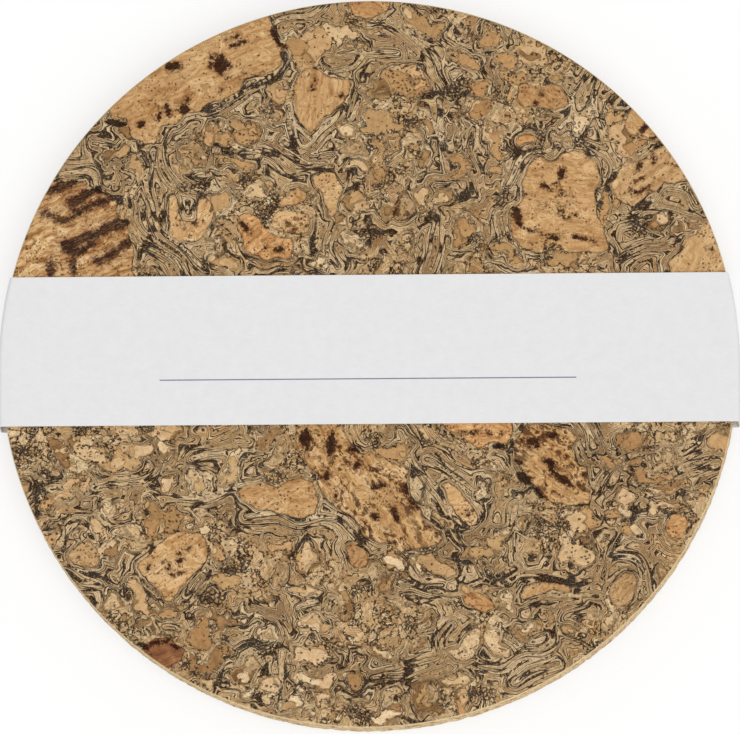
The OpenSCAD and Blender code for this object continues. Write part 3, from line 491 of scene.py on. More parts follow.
def faceMesh():
    corners, edges = [], []
    rimEnds = [path[end] for path, touches in outlines.values() if touches for end in (0, -1)]
    count = int(math.tau * discRadius / faceCut["outlineStep"])
    angles = sorted([math.tau * k / count for k in range(count)]
                    + [math.atan2(end[1], end[0]) % math.tau for end in rimEnds])
    ring = [angles[0]]
    for angle in angles[1:]:
        if angle - ring[-1] > 1e-4:
            ring.append(angle)
    corners += [onCircle(discRadius, angle) for angle in ring]
    edges += [(i, (i + 1) % len(ring)) for i in range(len(ring))]
    for path, touches in outlines.values():
        start = len(corners)
        corners += [tuple(point) for point in path]
        edges += [(start + i, start + i + 1) for i in range(len(path) - 1)]
        if not touches:
            edges.append((start + len(path) - 1, start))
    taken = len(corners)
    radius = faceCut["edgeRadius"]
    for share in faceCut["rimRings"]:
        corners += [onCircle(discRadius - radius * share, math.tau * (k + share) / count)
                    for k in range(count)]
    bark = fullOutlines["bark_slice"]
    for step, wanted in ((faceCut["step"], False), (faceCut["fineStep"], True)):
        rowStep = faceCut["rowShare"] * step
        rows = int(2 * discRadius / (step * faceCut["rowShare"])) + 1
        columns = int(2 * discRadius / step) + 1
        grid = np.array([(-discRadius + step * (i + 0.5 * (j % 2)), -discRadius + rowStep * j)
                         for j in range(rows) for i in range(columns)])
        grid = grid[np.hypot(*grid.T) < discRadius - faceCut["gridFrom"] * radius]
        grid = grid[insideOutline(grid, bark) == wanted]
        corners += [tuple(point) for point in grid]
    sides = faceCut["markPoints"]
    for x, y, halfLength, halfWidth, turn in marks:
        c, s = math.cos(math.radians(turn)), math.sin(math.radians(turn))
        for share in faceCut["markRings"]:
            for k in range(sides if share else 1):
                u = halfLength * share * math.cos(math.tau * k / sides)
                v = halfWidth * share * math.sin(math.tau * k / sides)
                spot = np.array((x + u * c - v * s, y + u * s + v * c)) * discRadius
                if np.hypot(*spot) < discRadius - faceCut["markFrom"] * radius:
                    corners.append(tuple(spot))
    nearby = kdtree.KDTree(taken)
    for i in range(taken):
        nearby.insert((*corners[i], 0), i)
    nearby.balance()
    kept = corners[:taken] + [spot for spot in corners[taken:]
                              if nearby.find((*spot, 0))[2] > faceCut["closest"]]
    found = delaunay_2d_cdt([Vector(spot) for spot in kept], edges, [], 1, 1e-5, False)
    return np.array([tuple(spot) for spot in found[0]]), np.array([list(face) for face in found[2]])


faceSpots, faceTriangles = faceMesh()
print("face mesh: %d points, %d triangles" % (len(faceSpots), len(faceTriangles)))

middles = faceSpots[faceTriangles].mean(axis=1)
pieceOf = np.full(len(faceTriangles), -1)      # -1 is the marbled sheet, else the number of the slice
for number, node in enumerate(sliceNodes):
    pieceOf[insideOutline(middles, fullOutlines[node])] = number


# Values painted on the face

pattern = {
    "chipWobble": [(7.0, 3.2), (2.8, 1.8), (1.2, 0.5)],      # size and depth of the chips' ragged edges
    "streamWobble": [(16.0, 3.0), (6.0, 0.9)],
    "packedLayers": 8.0,         # layers packed against each edge
    "packedReach": 6.0,          # how far they reach
    "looseLayers": 0.25,         # layers for each mm beyond
    "ringLayers": 1.1,           # layers for each mm in a ringed chip
    "innerLayers": 0.16,         # layers for each mm inside a plain chip
    "pit": (0.22, 0.1, 0.7),     # its depth, how much of it lies outside the mark, and the width of its wall
    "groove": (0.30, 0.2, 1.2),
}

moved = wobbled(faceSpots, pattern["chipWobble"], 30)
drifted = wobbled(faceSpots, pattern["streamWobble"], 40)
streamPaths = [roundedPath(path) * discRadius for path in streams]
edgePaths = [closedUp(path, touches) for path, touches in outlines.values()]
groovePaths = [(width * discRadius, roundedPath(path) * discRadius) for width, path in grooves]

toStream = lineDistance(drifted, streamPaths)
toSlice = lineDistance(faceSpots, edgePaths)
toChip = {look: ellipseDistance(moved, rows) for look, rows in chips.items()}
toMark = ellipseDistance(faceSpots, marks)
toGroove = np.min([lineDistance(faceSpots, [path]) - width for width, path in groovePaths], axis=0)
chipEdge = np.min([toChip[look] for look in ("tan", "orange", "pale", "speckled", "ringed")], axis=0)

nearest = np.minimum(np.minimum(chipEdge, toSlice), toStream)
outer = np.maximum(nearest, 0)
crowding = np.exp(-outer / pattern["packedReach"])
inner = np.where(toChip["ringed"] < 0, pattern["ringLayers"], pattern["innerLayers"])
layers = pattern["packedLayers"] * (1 - crowding) + pattern["looseLayers"] * outer
crowdedRate = pattern["looseLayers"] + pattern["packedLayers"] / pattern["packedReach"] * crowding

painted = {
    "layers": layers + inner * np.minimum(nearest, 0),
    "layerRate": np.where(nearest > 0, crowdedRate, inner),
    "packed": np.exp(-np.minimum(toStream, toSlice) / pattern["packedReach"]),
    "sliceEdge": toSlice,
    "chipEdge": chipEdge,
    "orangeEdge": toChip["orange"],
    "paleEdge": toChip["pale"],
    "speckledEdge": toChip["speckled"],
    "slateEdge": toChip["slate"],
    "streamEdge": toStream,
    "markEdge": np.minimum(toMark, toGroove),
}
print("face painted")


def dent(distance, depth, outside, wall):
    return depth * np.clip(outside - distance / wall, 0, 1)


def topHeight(spots):      # the sanded top with its rounded rim, pits and grooves
    r = faceCut["edgeRadius"]
    rounded = np.clip(r - (discRadius - np.hypot(*spots.T)), 0, r)
    height = faceTop - (r - np.sqrt(np.maximum(r ** 2 - rounded ** 2, 0)))
    return height - dent(toMark, *pattern["pit"]) - dent(toGroove, *pattern["groove"])


heights = topHeight(faceSpots)


# Materials

def shade(red, green, blue):      # a colour as a painter reads it, 0 to 255
    return tuple(((part / 255 + 0.055) / 1.055) ** 2.4 if part > 10 else part / 255 / 12.92
                 for part in (red, green, blue)) + (1,)


def newMaterial(name):
    material = bpy.data.materials.new(name)
    material.use_nodes = True
    material.node_tree.nodes.clear()
    return material


def addNode(tree, kind, sockets={}, **settings):
    made = tree.nodes.new("ShaderNode" + kind)
    for key, value in settings.items():
        setattr(made, key, value)
    for key, value in sockets.items():
        if isinstance(value, bpy.types.NodeSocket):
            tree.links.new(value, made.inputs[key])
        else:
            made.inputs[key].default_value = value
    return made


def calc(tree, operation, *values, clamp=False):
    return addNode(tree, "Math", dict(enumerate(values)), operation=operation, use_clamp=clamp).outputs[0]


def times(tree, first, *others):
    for other in others:
        first = calc(tree, "MULTIPLY", first, other)
    return first


def largest(tree, first, *others):
    for other in others:
        first = calc(tree, "MAXIMUM", first, other)
    return first


def plus(tree, first, second):
    return calc(tree, "ADD", first, second)


def minus(tree, first, second, clamp=False):
    return calc(tree, "SUBTRACT", first, second, clamp=clamp)


def pushed(tree, value, wave, amount):      # moves a value up and down by a noise between 0 and 1
    return calc(tree, "MULTIPLY_ADD", minus(tree, wave, 0.5), amount, value)


def vectorCalc(tree, operation, first, second):
    return addNode(tree, "VectorMath", {0: first, 1: second}, operation=operation).outputs[0]


def scaled(tree, vector, amount):
    return addNode(tree, "VectorMath", {0: vector, "Scale": amount}, operation="SCALE").outputs[0]


def noiseAt(tree, place, scale, detail=2.0, roughness=0.5, output=0):
    sockets = {"Vector": place, "Scale": scale, "Detail": detail, "Roughness": roughness}
    return addNode(tree, "TexNoise", sockets).outputs[output]


def noisePush(tree, place, scale, amount, detail=2.0, roughness=0.5):      # a push to all sides, in mm
    colour = noiseAt(tree, place, scale, detail, roughness, "Color")
    return scaled(tree, vectorCalc(tree, "SUBTRACT", colour, (0.5, 0.5, 0.5)), amount)


def cellsAt(tree, place, scale, flat=False):      # the Color and the Distance of a pattern of cells
    return addNode(tree, "TexVoronoi", {"Vector": place, "Scale": scale}, feature="F1",
                   voronoi_dimensions="2D" if flat else "3D").outputs


def gapsAt(tree, place, scale, flat=False):      # how far it is to the edge of a cell
    return addNode(tree, "TexVoronoi", {"Vector": place, "Scale": scale}, feature="DISTANCE_TO_EDGE",
                   voronoi_dimensions="2D" if flat else "3D").outputs[0]


def band(tree, value, low, high, lowOut=0.0, highOut=1.0):      # a soft step from low to high
    return addNode(tree, "MapRange", {"Value": value, "From Min": low, "From Max": high,
                                      "To Min": lowOut, "To Max": highOut},
                   interpolation_type="SMOOTHSTEP").outputs[0]


def lineAt(tree, distance, width):      # full within the width of a line's middle
    return band(tree, distance, times(tree, width, 0.4), largest(tree, width, 0.0001), 1.0, 0.0)


def parts(tree, colour):
    return addNode(tree, "SeparateColor", {0: colour}).outputs


def grey(tree, value):
    return addNode(tree, "CombineColor", {0: value, 1: value, 2: value}).outputs[0]


def mixed(tree, share, first, second, mode="MIX"):
    return addNode(tree, "Mix", {0: share, 6: first, 7: second},
                   data_type="RGBA", blend_type=mode).outputs[2]


def stained(tree, colour, share, strength, stain):
    return mixed(tree, times(tree, share, strength), colour, stain)


def ramp(tree, value, stops):
    made = addNode(tree, "ValToRGB", {"Fac": value})
    bar = made.color_ramp
    while len(bar.elements) < len(stops):
        bar.elements.new(0.5)
    for element, (place, colour) in zip(bar.elements, stops):
        element.position = place
        element.color = colour
    return made.outputs[0]


def readValue(tree, name):
    return addNode(tree, "Attribute", attribute_name=name).outputs["Fac"]


def facePlace(tree):      # place on the piece in mm
    return scaled(tree, addNode(tree, "TexCoord").outputs["Object"], 1 / mm)


def finishSurface(tree, colour, roughness, height, bumpDepth, specular=0.05):
    bump = addNode(tree, "Bump", {"Height": height, "Strength": 1.0, "Distance": bumpDepth * mm})
    surface = addNode(tree, "BsdfPrincipled", {"Base Color": colour, "Roughness": roughness,
                                               "Normal": bump.outputs[0], "Specular IOR Level": specular})
    tree.links.new(surface.outputs[0], addNode(tree, "OutputMaterial").inputs[0])


corkColours = {
    "slate": shade(44, 38, 36),
    "charcoal": shade(36, 22, 14),
    "maroon": shade(60, 24, 11),
    "umber": shade(42, 18, 11),
    "tans": [(0.0, shade(146, 108, 68)), (0.25, shade(178, 138, 91)), (0.5, shade(199, 160, 110)),
             (0.75, shade(217, 182, 135)), (1.0, shade(236, 206, 163))],
    "greyed": shade(160, 134, 100),
    "orange": shade(202, 153, 101),
    "pale": shade(238, 208, 162),
    # the sawn side's own pale tone, made paler still as painted light on the rim
    "sawnSideAndLight": shade(240, 215, 170),
    "hairLine": shade(128, 82, 48),
    "shadow": shade(138, 94, 58),
    "vein": shade(120, 72, 44),
}


def paledSideWithPaintedLight(tree, colour):      # the sawn side is plainer and paler than the sanded face; it is also painted paler still, as painted light on sides that face away from the lamp
    facing = addNode(tree, "SeparateXYZ", {0: addNode(tree, "NewGeometry").outputs["Normal"]}).outputs[2]
    return mixed(tree, band(tree, facing, 0.80, 0.40, 0.0, 0.85), colour, corkColours["sawnSideAndLight"])


marbledLook = {
    "fray": (1.1, 3.0, 0.65),        # eats at all edges: scale, detail and roughness of the noise
    "patch": (0.11, 2.0, 0.5),       # where crumbs and lines gather
    "fade": (0.28, 2.0, 0.5),        # lines come and go
    "grain": (3.2, 3.0, 0.7),
    "mottle": (0.9, 3.0, 0.65),
    "crumble": (1.7, 4.0, 0.72),
    "crumbled": (0.64, 0.54, 0.35, 1.0),      # bits of cork that break up the dark lines and heaps
    "bigWarp": (0.17, 3.0, 3.0, 0.6),         # noise scale, its push in mm, detail and roughness
    "smallWarp": (0.75, 0.9, 2.0, 0.6),
    "crumbBend": (0.085, 9.0, 1.0),  # slow noise that draws the crumbs out
    "crumbDrift": 1.1,               # how much of the warp the crumbs take
    "layerWarp": (0.10, 1.2, 3.2),   # noise scale, and its push in layers where packed and where loose
    "layerRipple": (0.55, 0.14, 0.40),
    "layerLength": 0.07,             # one over the length of a layer
    "streamFray": 5.0,
    "streamReach": (8.0, 2.5),       # in mm from the middle of a stream
    "streamTint": 0.35,
    "chipFray": (4.5, 2.4),          # how far slow and quick noise push the edges of the chips, in mm
    "chipTints": {"orange": 0.34, "pale": 0.42},
    "warmLayers": 0.4,
    "crumbLevels": [      # size in mm, thinnest and thickest line round it, share that is broken up further
        (7.5, -0.06, 0.46, 0.80), (3.6, -0.02, 0.44, 0.66), (1.9, 0.04, 0.46, 0.50), (1.1, 0.08, 0.40, 0)],
    "lineWidth": (0.04, 0.105),      # half width of the dark lines in mm, thin and thick
    "hairLines": (2.3, 0.065, 0.72),      # finer lines: how many for each layer, half width in mm, strength
    "glow": (2.6, 0.45),             # pale edges of the dark lines: width against the line's, strength
    "heapFray": 7.0,
    "crumbDust": 0.95,               # one over the size of the crumbs in the dark heaps
    "blotches": (0.62, 0.625, 0.67),      # noise scale, and where a blotch starts and is full
    "blotchStrength": 0.85,
    "specks": 0.85,                  # one over the size of a speck's cell
    "markStrength": 0.93,
    "bump": 0.08,
}


def crumbsBrokenUp(tree, place, fray, patch):      # big crumbs, some broken into smaller ones, and so on
    tone, dark, broken = None, None, 1.0
    for size, thin, thick, share in marbledLook["crumbLevels"]:
        tones = parts(tree, cellsAt(tree, place, 1 / size, flat=True)["Color"])
        width = band(tree, fray, 0.36, 0.70, thin / size, thick / size)
        gap = lineAt(tree, gapsAt(tree, place, 1 / size, flat=True), largest(tree, 0.0, width))
        if tone is None:
            tone, dark = tones[0], gap
        else:
            tone = mixed(tree, broken, tone, tones[0])
            dark = largest(tree, dark, times(tree, gap, broken))
        limit = pushed(tree, share, patch, 1.6)
        broken = times(tree, calc(tree, "GREATER_THAN", limit, tones[1]), broken)
    return tone, dark


def makeMarbled():
    material = newMaterial("marbledCork")
    tree = material.node_tree
    look = marbledLook
    place = facePlace(tree)
    fray, patch, fade, grain, crumble = (noiseAt(tree, place, *look[name])
                                         for name in ("fray", "patch", "fade", "grain", "crumble"))
    smallPush = noisePush(tree, place, *look["smallWarp"])
    push = vectorCalc(tree, "ADD", noisePush(tree, place, *look["bigWarp"]), smallPush)
    nudged = vectorCalc(tree, "ADD", place, smallPush)
    warped = vectorCalc(tree, "ADD", place, push)
    packed = readValue(tree, "packed")
    layerRate = readValue(tree, "layerRate")

    def frayed(name, amount):
        return pushed(tree, readValue(tree, name), fray, amount)

    def wavy(value, scale, whenPacked, whenLoose):
        reach = band(tree, packed, 0.25, 0.8, whenLoose, whenPacked)
        return pushed(tree, value, noiseAt(tree, place, scale, 3.0), reach)

    # long thin cells along the streams, and crumbs between them
    layerValue = wavy(wavy(readValue(tree, "layers"), *look["layerWarp"]), *look["layerRipple"])
    flat = addNode(tree, "SeparateXYZ", {0: scaled(tree, nudged, look["layerLength"])}).outputs
    stacked = addNode(tree, "CombineXYZ", {0: flat[0], 1: flat[1], 2: layerValue}).outputs[0]
    layerTone = parts(tree, cellsAt(tree, stacked, 1.0)["Color"])
    layerGaps = gapsAt(tree, stacked, 1.0)
    bend = vectorCalc(tree, "ADD", noisePush(tree, place, *look["crumbBend"]),
                      scaled(tree, push, look["crumbDrift"]))
    crumbTone, gap = crumbsBrokenUp(tree, vectorCalc(tree, "ADD", place, bend), fray, patch)

    stream = times(tree, band(tree, frayed("streamEdge", look["streamFray"]), *look["streamReach"]),
                   band(tree, readValue(tree, "chipEdge"), -0.5, 0.5))
    slowly, quickly = look["chipFray"]
    chipEdge = pushed(tree, frayed("chipEdge", quickly), noiseAt(tree, place, 0.45, 1.0), slowly)
    insideChip = band(tree, chipEdge, 0.15, -0.35)
    loose = minus(tree, 1.0, largest(tree, insideChip, stream))
    crumbShare = times(tree, band(tree, noiseAt(tree, place, 0.07, 1.0), 0.40, 0.48), loose)

    # colour of each layer or crumb
    tone = mixed(tree, crumbShare, layerTone[0], band(tree, crumbTone, 0.0, 1.0, 0.22, 0.80))
    colour = ramp(tree, pushed(tree, tone, fade, 0.5), corkColours["tans"])
    warm = band(tree, layerTone[1], 0.74, 0.9)
    colour = stained(tree, colour, warm, look["warmLayers"], corkColours["orange"])
    colour = stained(tree, colour, band(tree, crumbTone, 0.93, 0.97), crumbShare, corkColours["pale"])
    for key, strength in look["chipTints"].items():
        tinted = band(tree, frayed(key + "Edge", 1.6), 0.1, -0.4)
        colour = stained(tree, colour, tinted, strength, corkColours[key])
    colour = stained(tree, colour, stream, look["streamTint"], corkColours["greyed"])

    # dark lines between the layers and round the chips, dark gaps between the crumbs
    thin, thick = look["lineWidth"]
    width = times(tree, band(tree, fade, 0.35, 0.68, thin, thick), plus(tree, layerRate, 0.30))
    line = lineAt(tree, layerGaps, width)
    glowWidth, glowStrength = look["glow"]
    glow = minus(tree, lineAt(tree, layerGaps, times(tree, width, glowWidth)), line, clamp=True)
    line = times(tree, line, band(tree, insideChip, 0.0, 1.0, 1.0, 0.5),
                 band(tree, crumbShare, 0.3, 0.8, 1.0, 0.25))
    hairCount, hairWidth, hairStrength = look["hairLines"]
    hair = lineAt(tree, calc(tree, "PINGPONG", times(tree, layerValue, hairCount), 0.5),
                  times(tree, plus(tree, layerRate, 0.25), hairWidth * hairCount))
    hairShown = times(tree, band(tree, fray, 0.36, 0.58, 0.0, hairStrength),
                      band(tree, layerRate, 0.12, 0.5))
    border = times(tree, band(tree, calc(tree, "ABSOLUTE", chipEdge), 0.24, 0.05),
                   band(tree, fade, 0.32, 0.52, 0.45, 1.0))
    sliceLine = times(tree, band(tree, frayed("sliceEdge", 1.2), 0.28, 0.05),
                      band(tree, fade, 0.36, 0.56, 0.25, 1.0))
    heap = largest(tree, band(tree, frayed("slateEdge", look["heapFray"]), 1.2, -1.2),
                   times(tree, band(tree, patch, 0.56, 0.66), times(tree, loose, 0.6)))
    dust = lineAt(tree, gapsAt(tree, nudged, look["crumbDust"], flat=True), times(tree, heap, 0.46))
    dark = largest(tree, line, times(tree, gap, crumbShare), border, sliceLine, times(tree, hair, hairShown),
                   times(tree, band(tree, heap, 0.05, 0.3), dust))

    # blotches, and small dark specks that are thick in the speckled chips
    blotchScale, blotchStart, blotchFull = look["blotches"]
    blotch = times(tree, band(tree, noiseAt(tree, warped, blotchScale, 4.0, 0.62), blotchStart, blotchFull),
                   band(tree, fade, 0.40, 0.52))
    specks = cellsAt(tree, warped, look["specks"], flat=True)
    many = band(tree, readValue(tree, "speckledEdge"), 0.5, -1.0, 0.255, 0.8)
    chosen = calc(tree, "GREATER_THAN", times(tree, parts(tree, specks["Color"])[0], many), 0.22)
    speck = times(tree, band(tree, specks["Distance"], 0.36, 0.20), chosen, band(tree, fray, 0.40, 0.52))

    mottle = noiseAt(tree, warped, *look["mottle"])
    streak = times(tree, band(tree, grain, 0.25, 0.75, 0.84, 1.10),
                   band(tree, mottle, 0.3, 0.66, 0.80, 1.09))
    colour = mixed(tree, 1.0, colour, grey(tree, streak), "MULTIPLY")
    glow = times(tree, glow, minus(tree, 1.0, insideChip))
    colour = stained(tree, colour, glow, glowStrength, corkColours["pale"])
    blotchColour = mixed(tree, band(tree, patch, 0.42, 0.55), corkColours["maroon"], corkColours["charcoal"])
    colour = stained(tree, colour, largest(tree, speck, blotch), look["blotchStrength"], blotchColour)
    lineColour = mixed(tree, band(tree, noiseAt(tree, place, 0.3, 1.0), 0.4, 0.6),
                       corkColours["slate"], corkColours["charcoal"])
    strength = times(tree, band(tree, grain, 0.34, 0.54, 0.80, 1.0), band(tree, crumble, *look["crumbled"]))
    colour = stained(tree, colour, dark, strength, lineColour)
    mark = band(tree, frayed("markEdge", 2.0), 0.1, -0.35)
    colour = stained(tree, colour, mark, look["markStrength"], corkColours["charcoal"])

    height = minus(tree, times(tree, grain, 0.4), largest(tree, dark, speck))
    finishSurface(tree, paledSideWithPaintedLight(tree, colour), band(tree, dark, 0, 1, 0.62, 0.8), height, look["bump"])
    return material


marbledCork = makeMarbled()

# Natural cork in one piece: fine streaks along the grain, pits across it, painted marks
plainGrade = {
    "rings": 9,
    "shadow": 0.35,
    "blotches": 0.55,
    "torn": 1.3,                    # how far the specks are torn about, in mm
    "speckSizes": [(0.9, 0.34)],    # size of a speck's cell in mm, and how much of it the speck fills
    "hair": 0.72,
    "markSoft": 0.15,
    "markSolid": 0.75,
    "markColour": corkColours["umber"],
    "bled": 0.5,
    "halo": (1.2, 0.35),            # how far the stain round a mark reaches in mm, and its strength
    "haloColour": shade(112, 72, 44),
    "rimLine": 0.8,
    "bump": 0.10,
}

grades = {
    "tan_cork": {"tones": [shade(162, 116, 70), shade(203, 160, 108), shade(226, 190, 140)],
                 "streak": 0.70, "pits": 0.55, "veins": 0.35, "specks": 0.30},
    "orange_cork": {"tones": [shade(156, 106, 62), shade(198, 150, 98), shade(220, 178, 126)],
                    "streak": 0.80, "pits": 0.60, "veins": 0.50, "specks": 0.45},
    "pale_cork": {"tones": [shade(176, 134, 88), shade(208, 168, 118), shade(226, 194, 146)],
                  "streak": 0.50, "pits": 0.60, "veins": 0.40, "specks": 0.55},
    "russet_cork": {"tones": [shade(98, 60, 40), shade(136, 88, 58), shade(176, 126, 86)],
                    "streak": 0.60, "pits": 0.40, "veins": 0.50, "specks": 0.40},
    "flake": {"tones": [shade(204, 166, 118), shade(230, 198, 152), shade(242, 216, 174)],
              "streak": 0.50, "pits": 0.80, "veins": 0.40, "specks": 0.60, "blotches": 1.0},
    "spotted": {"tones": [shade(168, 126, 80), shade(208, 168, 118), shade(228, 196, 148)],
                "streak": 0.60, "pits": 0.90, "veins": 0.70, "specks": 0.55, "blotches": 1.10,
                "speckSizes": [(0.9, 0.36), (2.0, 0.38), (3.4, 0.32)], "torn": 1.8},
    "rough": {"tones": [shade(160, 114, 68), shade(204, 162, 108), shade(228, 194, 146)],
              "streak": 0.70, "pits": 0.90, "veins": 0.80, "specks": 0.62, "blotches": 1.30,
              "speckSizes": [(0.9, 0.36), (2.0, 0.40), (3.8, 0.34)], "torn": 1.9,
              "rings": 5, "shadow": 0.55},
    # bark: the wide brown halo round the dark grooves is partly the bark's own brown and partly painted
    # shade on the slopes down into them
    "bark": {"tones": [shade(148, 102, 60), shade(214, 171, 116), shade(246, 216, 166)],
             "streak": 1.00, "pits": 0.50, "veins": 0.90, "specks": 0.70, "blotches": 0.9,
             "shadow": 0.38, "halo": (4.2, 0.48), "haloColour": shade(132, 78, 42),
             "markColour": shade(40, 25, 22), "markSolid": 0.45, "markSoft": 0.9},
}


def makeSliceCork(grade, ownLook):
    material = newMaterial(grade)
    tree = material.node_tree
    look = {**plainGrade, **ownLook}
    place = facePlace(tree)
    grain = addNode(tree, "CombineXYZ", {0: readValue(tree, "along"), 1: readValue(tree, "across"),
                                         2: readValue(tree, "sliceNumber")}).outputs[0]
    grain = vectorCalc(tree, "ADD", grain, noisePush(tree, place, 0.16, 3.0))

    def grainNoise(along, across, apart, detail, roughness=0.5):      # drawn out along the grain
        stretched = vectorCalc(tree, "MULTIPLY", grain, (along, across, apart))
        return noiseAt(tree, stretched, 1.0, detail, roughness)

    broad = grainNoise(0.05, 0.12, 2.3, 2.0)
    streak = grainNoise(0.06, 0.95, 3.1, 3.0, 0.6)
    fine = grainNoise(0.22, 2.9, 5.3, 2.0, 0.6)
    rings = grainNoise(0.035, 0.26, 4.3, 2.0, 0.45)
    fray = noiseAt(tree, place, 1.5, 4.0, 0.70)
    slowFray = noiseAt(tree, place, 0.42)
    patch = noiseAt(tree, place, 0.16, 1.0)

    def frayed(name, slowly, quickly):
        return pushed(tree, pushed(tree, readValue(tree, name), fray, quickly), slowFray, slowly)

    # streaks of tone, and hair lines round the rings of growth
    ringPhase = calc(tree, "FRACT", times(tree, rings, look["rings"]))
    hair = band(tree, calc(tree, "ABSOLUTE", minus(tree, ringPhase, 0.5)), 0.36, 0.49)
    hairShown = times(tree, band(tree, broad, 0.36, 0.54, 0.15, 1.0), band(tree, fine, 0.30, 0.45, 0.5, 1.0))
    tone = plus(tree, times(tree, minus(tree, streak, 0.5), look["streak"] * 2.0),
                plus(tree, broad, times(tree, minus(tree, fine, 0.5), 0.34)))
    colour = ramp(tree, tone, list(zip((0.15, 0.5, 0.85), look["tones"])))
    colour = stained(tree, colour, times(tree, hair, hairShown), look["hair"], corkColours["hairLine"])
    colour = mixed(tree, 1.0, colour, grey(tree, readValue(tree, "toned")), "MULTIPLY")

    # pits, specks, blotches and veins
    pits = cellsAt(tree, vectorCalc(tree, "MULTIPLY", grain, (0.30, 0.62, 1.7)), 1.0)
    chosen = calc(tree, "LESS_THAN", parts(tree, pits["Color"])[0], look["pits"] * 0.45)
    pit = times(tree, band(tree, pits["Distance"], 0.22, 0.10), chosen, band(tree, fray, 0.38, 0.5))
    tornPlace = vectorCalc(tree, "ADD", place, noisePush(tree, place, 1.3, look["torn"], 3.0, 0.65))
    speckShare = times(tree, readValue(tree, "spotted"), look["specks"])
    speckLimit = times(tree, band(tree, patch, 0.38, 0.62), speckShare)
    speck = 0.0
    for size, most in look["speckSizes"]:
        spots = cellsAt(tree, tornPlace, 1 / size, flat=True)
        tones = parts(tree, spots["Color"])
        reach = band(tree, tones[1], 0.0, 1.0, 0.14, most)
        spot = band(tree, minus(tree, reach, spots["Distance"]), 0.0, 0.10)
        speck = largest(tree, speck, times(tree, spot, calc(tree, "LESS_THAN", tones[0], speckLimit)))
    blotchEdge = 0.76 - 0.17 * look["blotches"]
    blotch = times(tree, band(tree, grainNoise(0.22, 0.52, 1.3, 4.0, 0.66), blotchEdge, blotchEdge + 0.04),
                   band(tree, patch, 0.36, 0.5, 0.55, 1.0))
    shadow = band(tree, grainNoise(0.07, 0.16, 6.1, 3.0, 0.6), 0.44, 0.70)
    vein = times(tree, band(tree, grainNoise(0.06, 0.5, 7.7, 4.0, 0.6), 0.60, 0.72), look["veins"],
                 band(tree, fray, 0.35, 0.55))
    colour = stained(tree, colour, shadow, look["shadow"], corkColours["shadow"])
    colour = mixed(tree, vein, colour, corkColours["vein"])
    colour = stained(tree, colour, largest(tree, pit, blotch), 0.8, corkColours["maroon"])
    colour = stained(tree, colour, speck, band(tree, fine, 0.36, 0.56, 0.5, 0.85), corkColours["maroon"])

    # the painted marks, each with a stain round it, and the dark line round the slice; on the bark, the wide
    # stain round the grooves is also painted shade on the slopes into them
    mark = band(tree, frayed("markEdge", 3.0, 3.0), look["markSoft"], -0.3)
    markStrength = band(tree, fine, 0.36, 0.56, look["markSolid"], 0.95)
    bled = band(tree, frayed("markEdge", 5.0, 7.0), 0.5, -0.2)
    haloReach, haloStrength = look["halo"]
    halo = band(tree, frayed("markEdge", 2.5 + haloReach, 2.0), haloReach, -0.2)
    rimLine = times(tree, band(tree, frayed("sliceEdge", 0.8, 1.2), 0.40, 0.10),
                    band(tree, slowFray, 0.38, 0.6, 0.15, 0.9))
    colour = stained(tree, colour, bled, look["bled"], corkColours["maroon"])
    colour = stained(tree, colour, halo, haloStrength, look["haloColour"])
    colour = stained(tree, colour, mark, markStrength, look["markColour"])
    colour = stained(tree, colour, rimLine, look["rimLine"], corkColours["umber"])
    height = minus(tree, times(tree, fine, 0.6), largest(tree, pit, speck, mark, vein))
    finishSurface(tree, paledSideWithPaintedLight(tree, colour), 0.66, height, look["bump"])
    return material


sliceCorks = {grade: makeSliceCork(grade, look) for grade, look in grades.items()}

ownLooks = {"bark_slice": "bark", "long_rough_slice": "rough", "blotched_slice": "rough",
            "pale_left_flake": "flake", "pale_right_flake": "flake", "horseshoe_slice": "spotted",
            "right_rim_slice": "spotted", "red_tip_slice": "spotted", "speckled_slice": "spotted",
            "right_edge_slice": "pale_cork", "centre_slice": "pale_cork", "leaf_slice": "pale_cork",
            "left_low_slice": "pale_cork"}

# How light a slice is and how many specks it has, against others of its grade
sliceTones = {
    "red_tip_slice": (0.74, 2.0), "horseshoe_slice": (1.14, 0.6), "orange_drop_slice": (0.82, 1.6),
    "lower_right_slice": (0.84, 1.8), "right_edge_slice": (1.03, 0.8), "orange_block_slice": (1.20, 1.2),
    "centre_slice": (1.06, 1.6), "amber_slice": (1.14, 1.4), "pale_oval_slice": (1.18, 1.8),
    "brown_slice": (0.90, 1.6), "left_low_slice": (0.90, 1.8), "leaf_slice": (0.92, 1.8),
    "speckled_slice": (1.12, 1.5), "small_oval_slice": (1.20, 0.6), "smooth_slice": (1.02, 2.0),
    "right_low_slice": (1.10, 1.3), "low_orange_slice": (1.07, 1.2), "heart_slice": (1.03, 1.6),
    "blotched_slice": (1.06, 1.0), "dotted_slice": (1.05, 1.0), "long_rough_slice": (1.03, 1.0),
    "right_slice": (1.03, 1.2), "right_rim_slice": (1.01, 0.4),
}

# Which way the grain runs in each slice, in degrees
grainTurn = {
    "upper_left_slice": 22, "bark_slice": 22, "right_slice": -6, "right_rim_slice": 35,
    "right_edge_slice": 60, "dotted_slice": 35, "long_rough_slice": -55, "blotched_slice": -38,
    "pale_oval_slice": 10, "orange_block_slice": -8, "pale_left_flake": 30, "pale_right_flake": -20,
    "russet_chip": 20, "smooth_slice": 10, "amber_slice": 40, "speckled_slice": 25,
    "horseshoe_slice": 60, "top_slice": 80, "top_rim_slice": -20, "centre_slice": 15,
    "heart_slice": 90, "red_tip_slice": 60, "brown_slice": -30, "small_oval_slice": 0,
    "upper_rim_slice": -45, "orange_drop_slice": 70, "leaf_slice": 45, "low_orange_slice": -15,
    "lower_right_slice": 50, "right_low_slice": 20, "long_thin_slice": 60, "left_low_slice": -10,
}


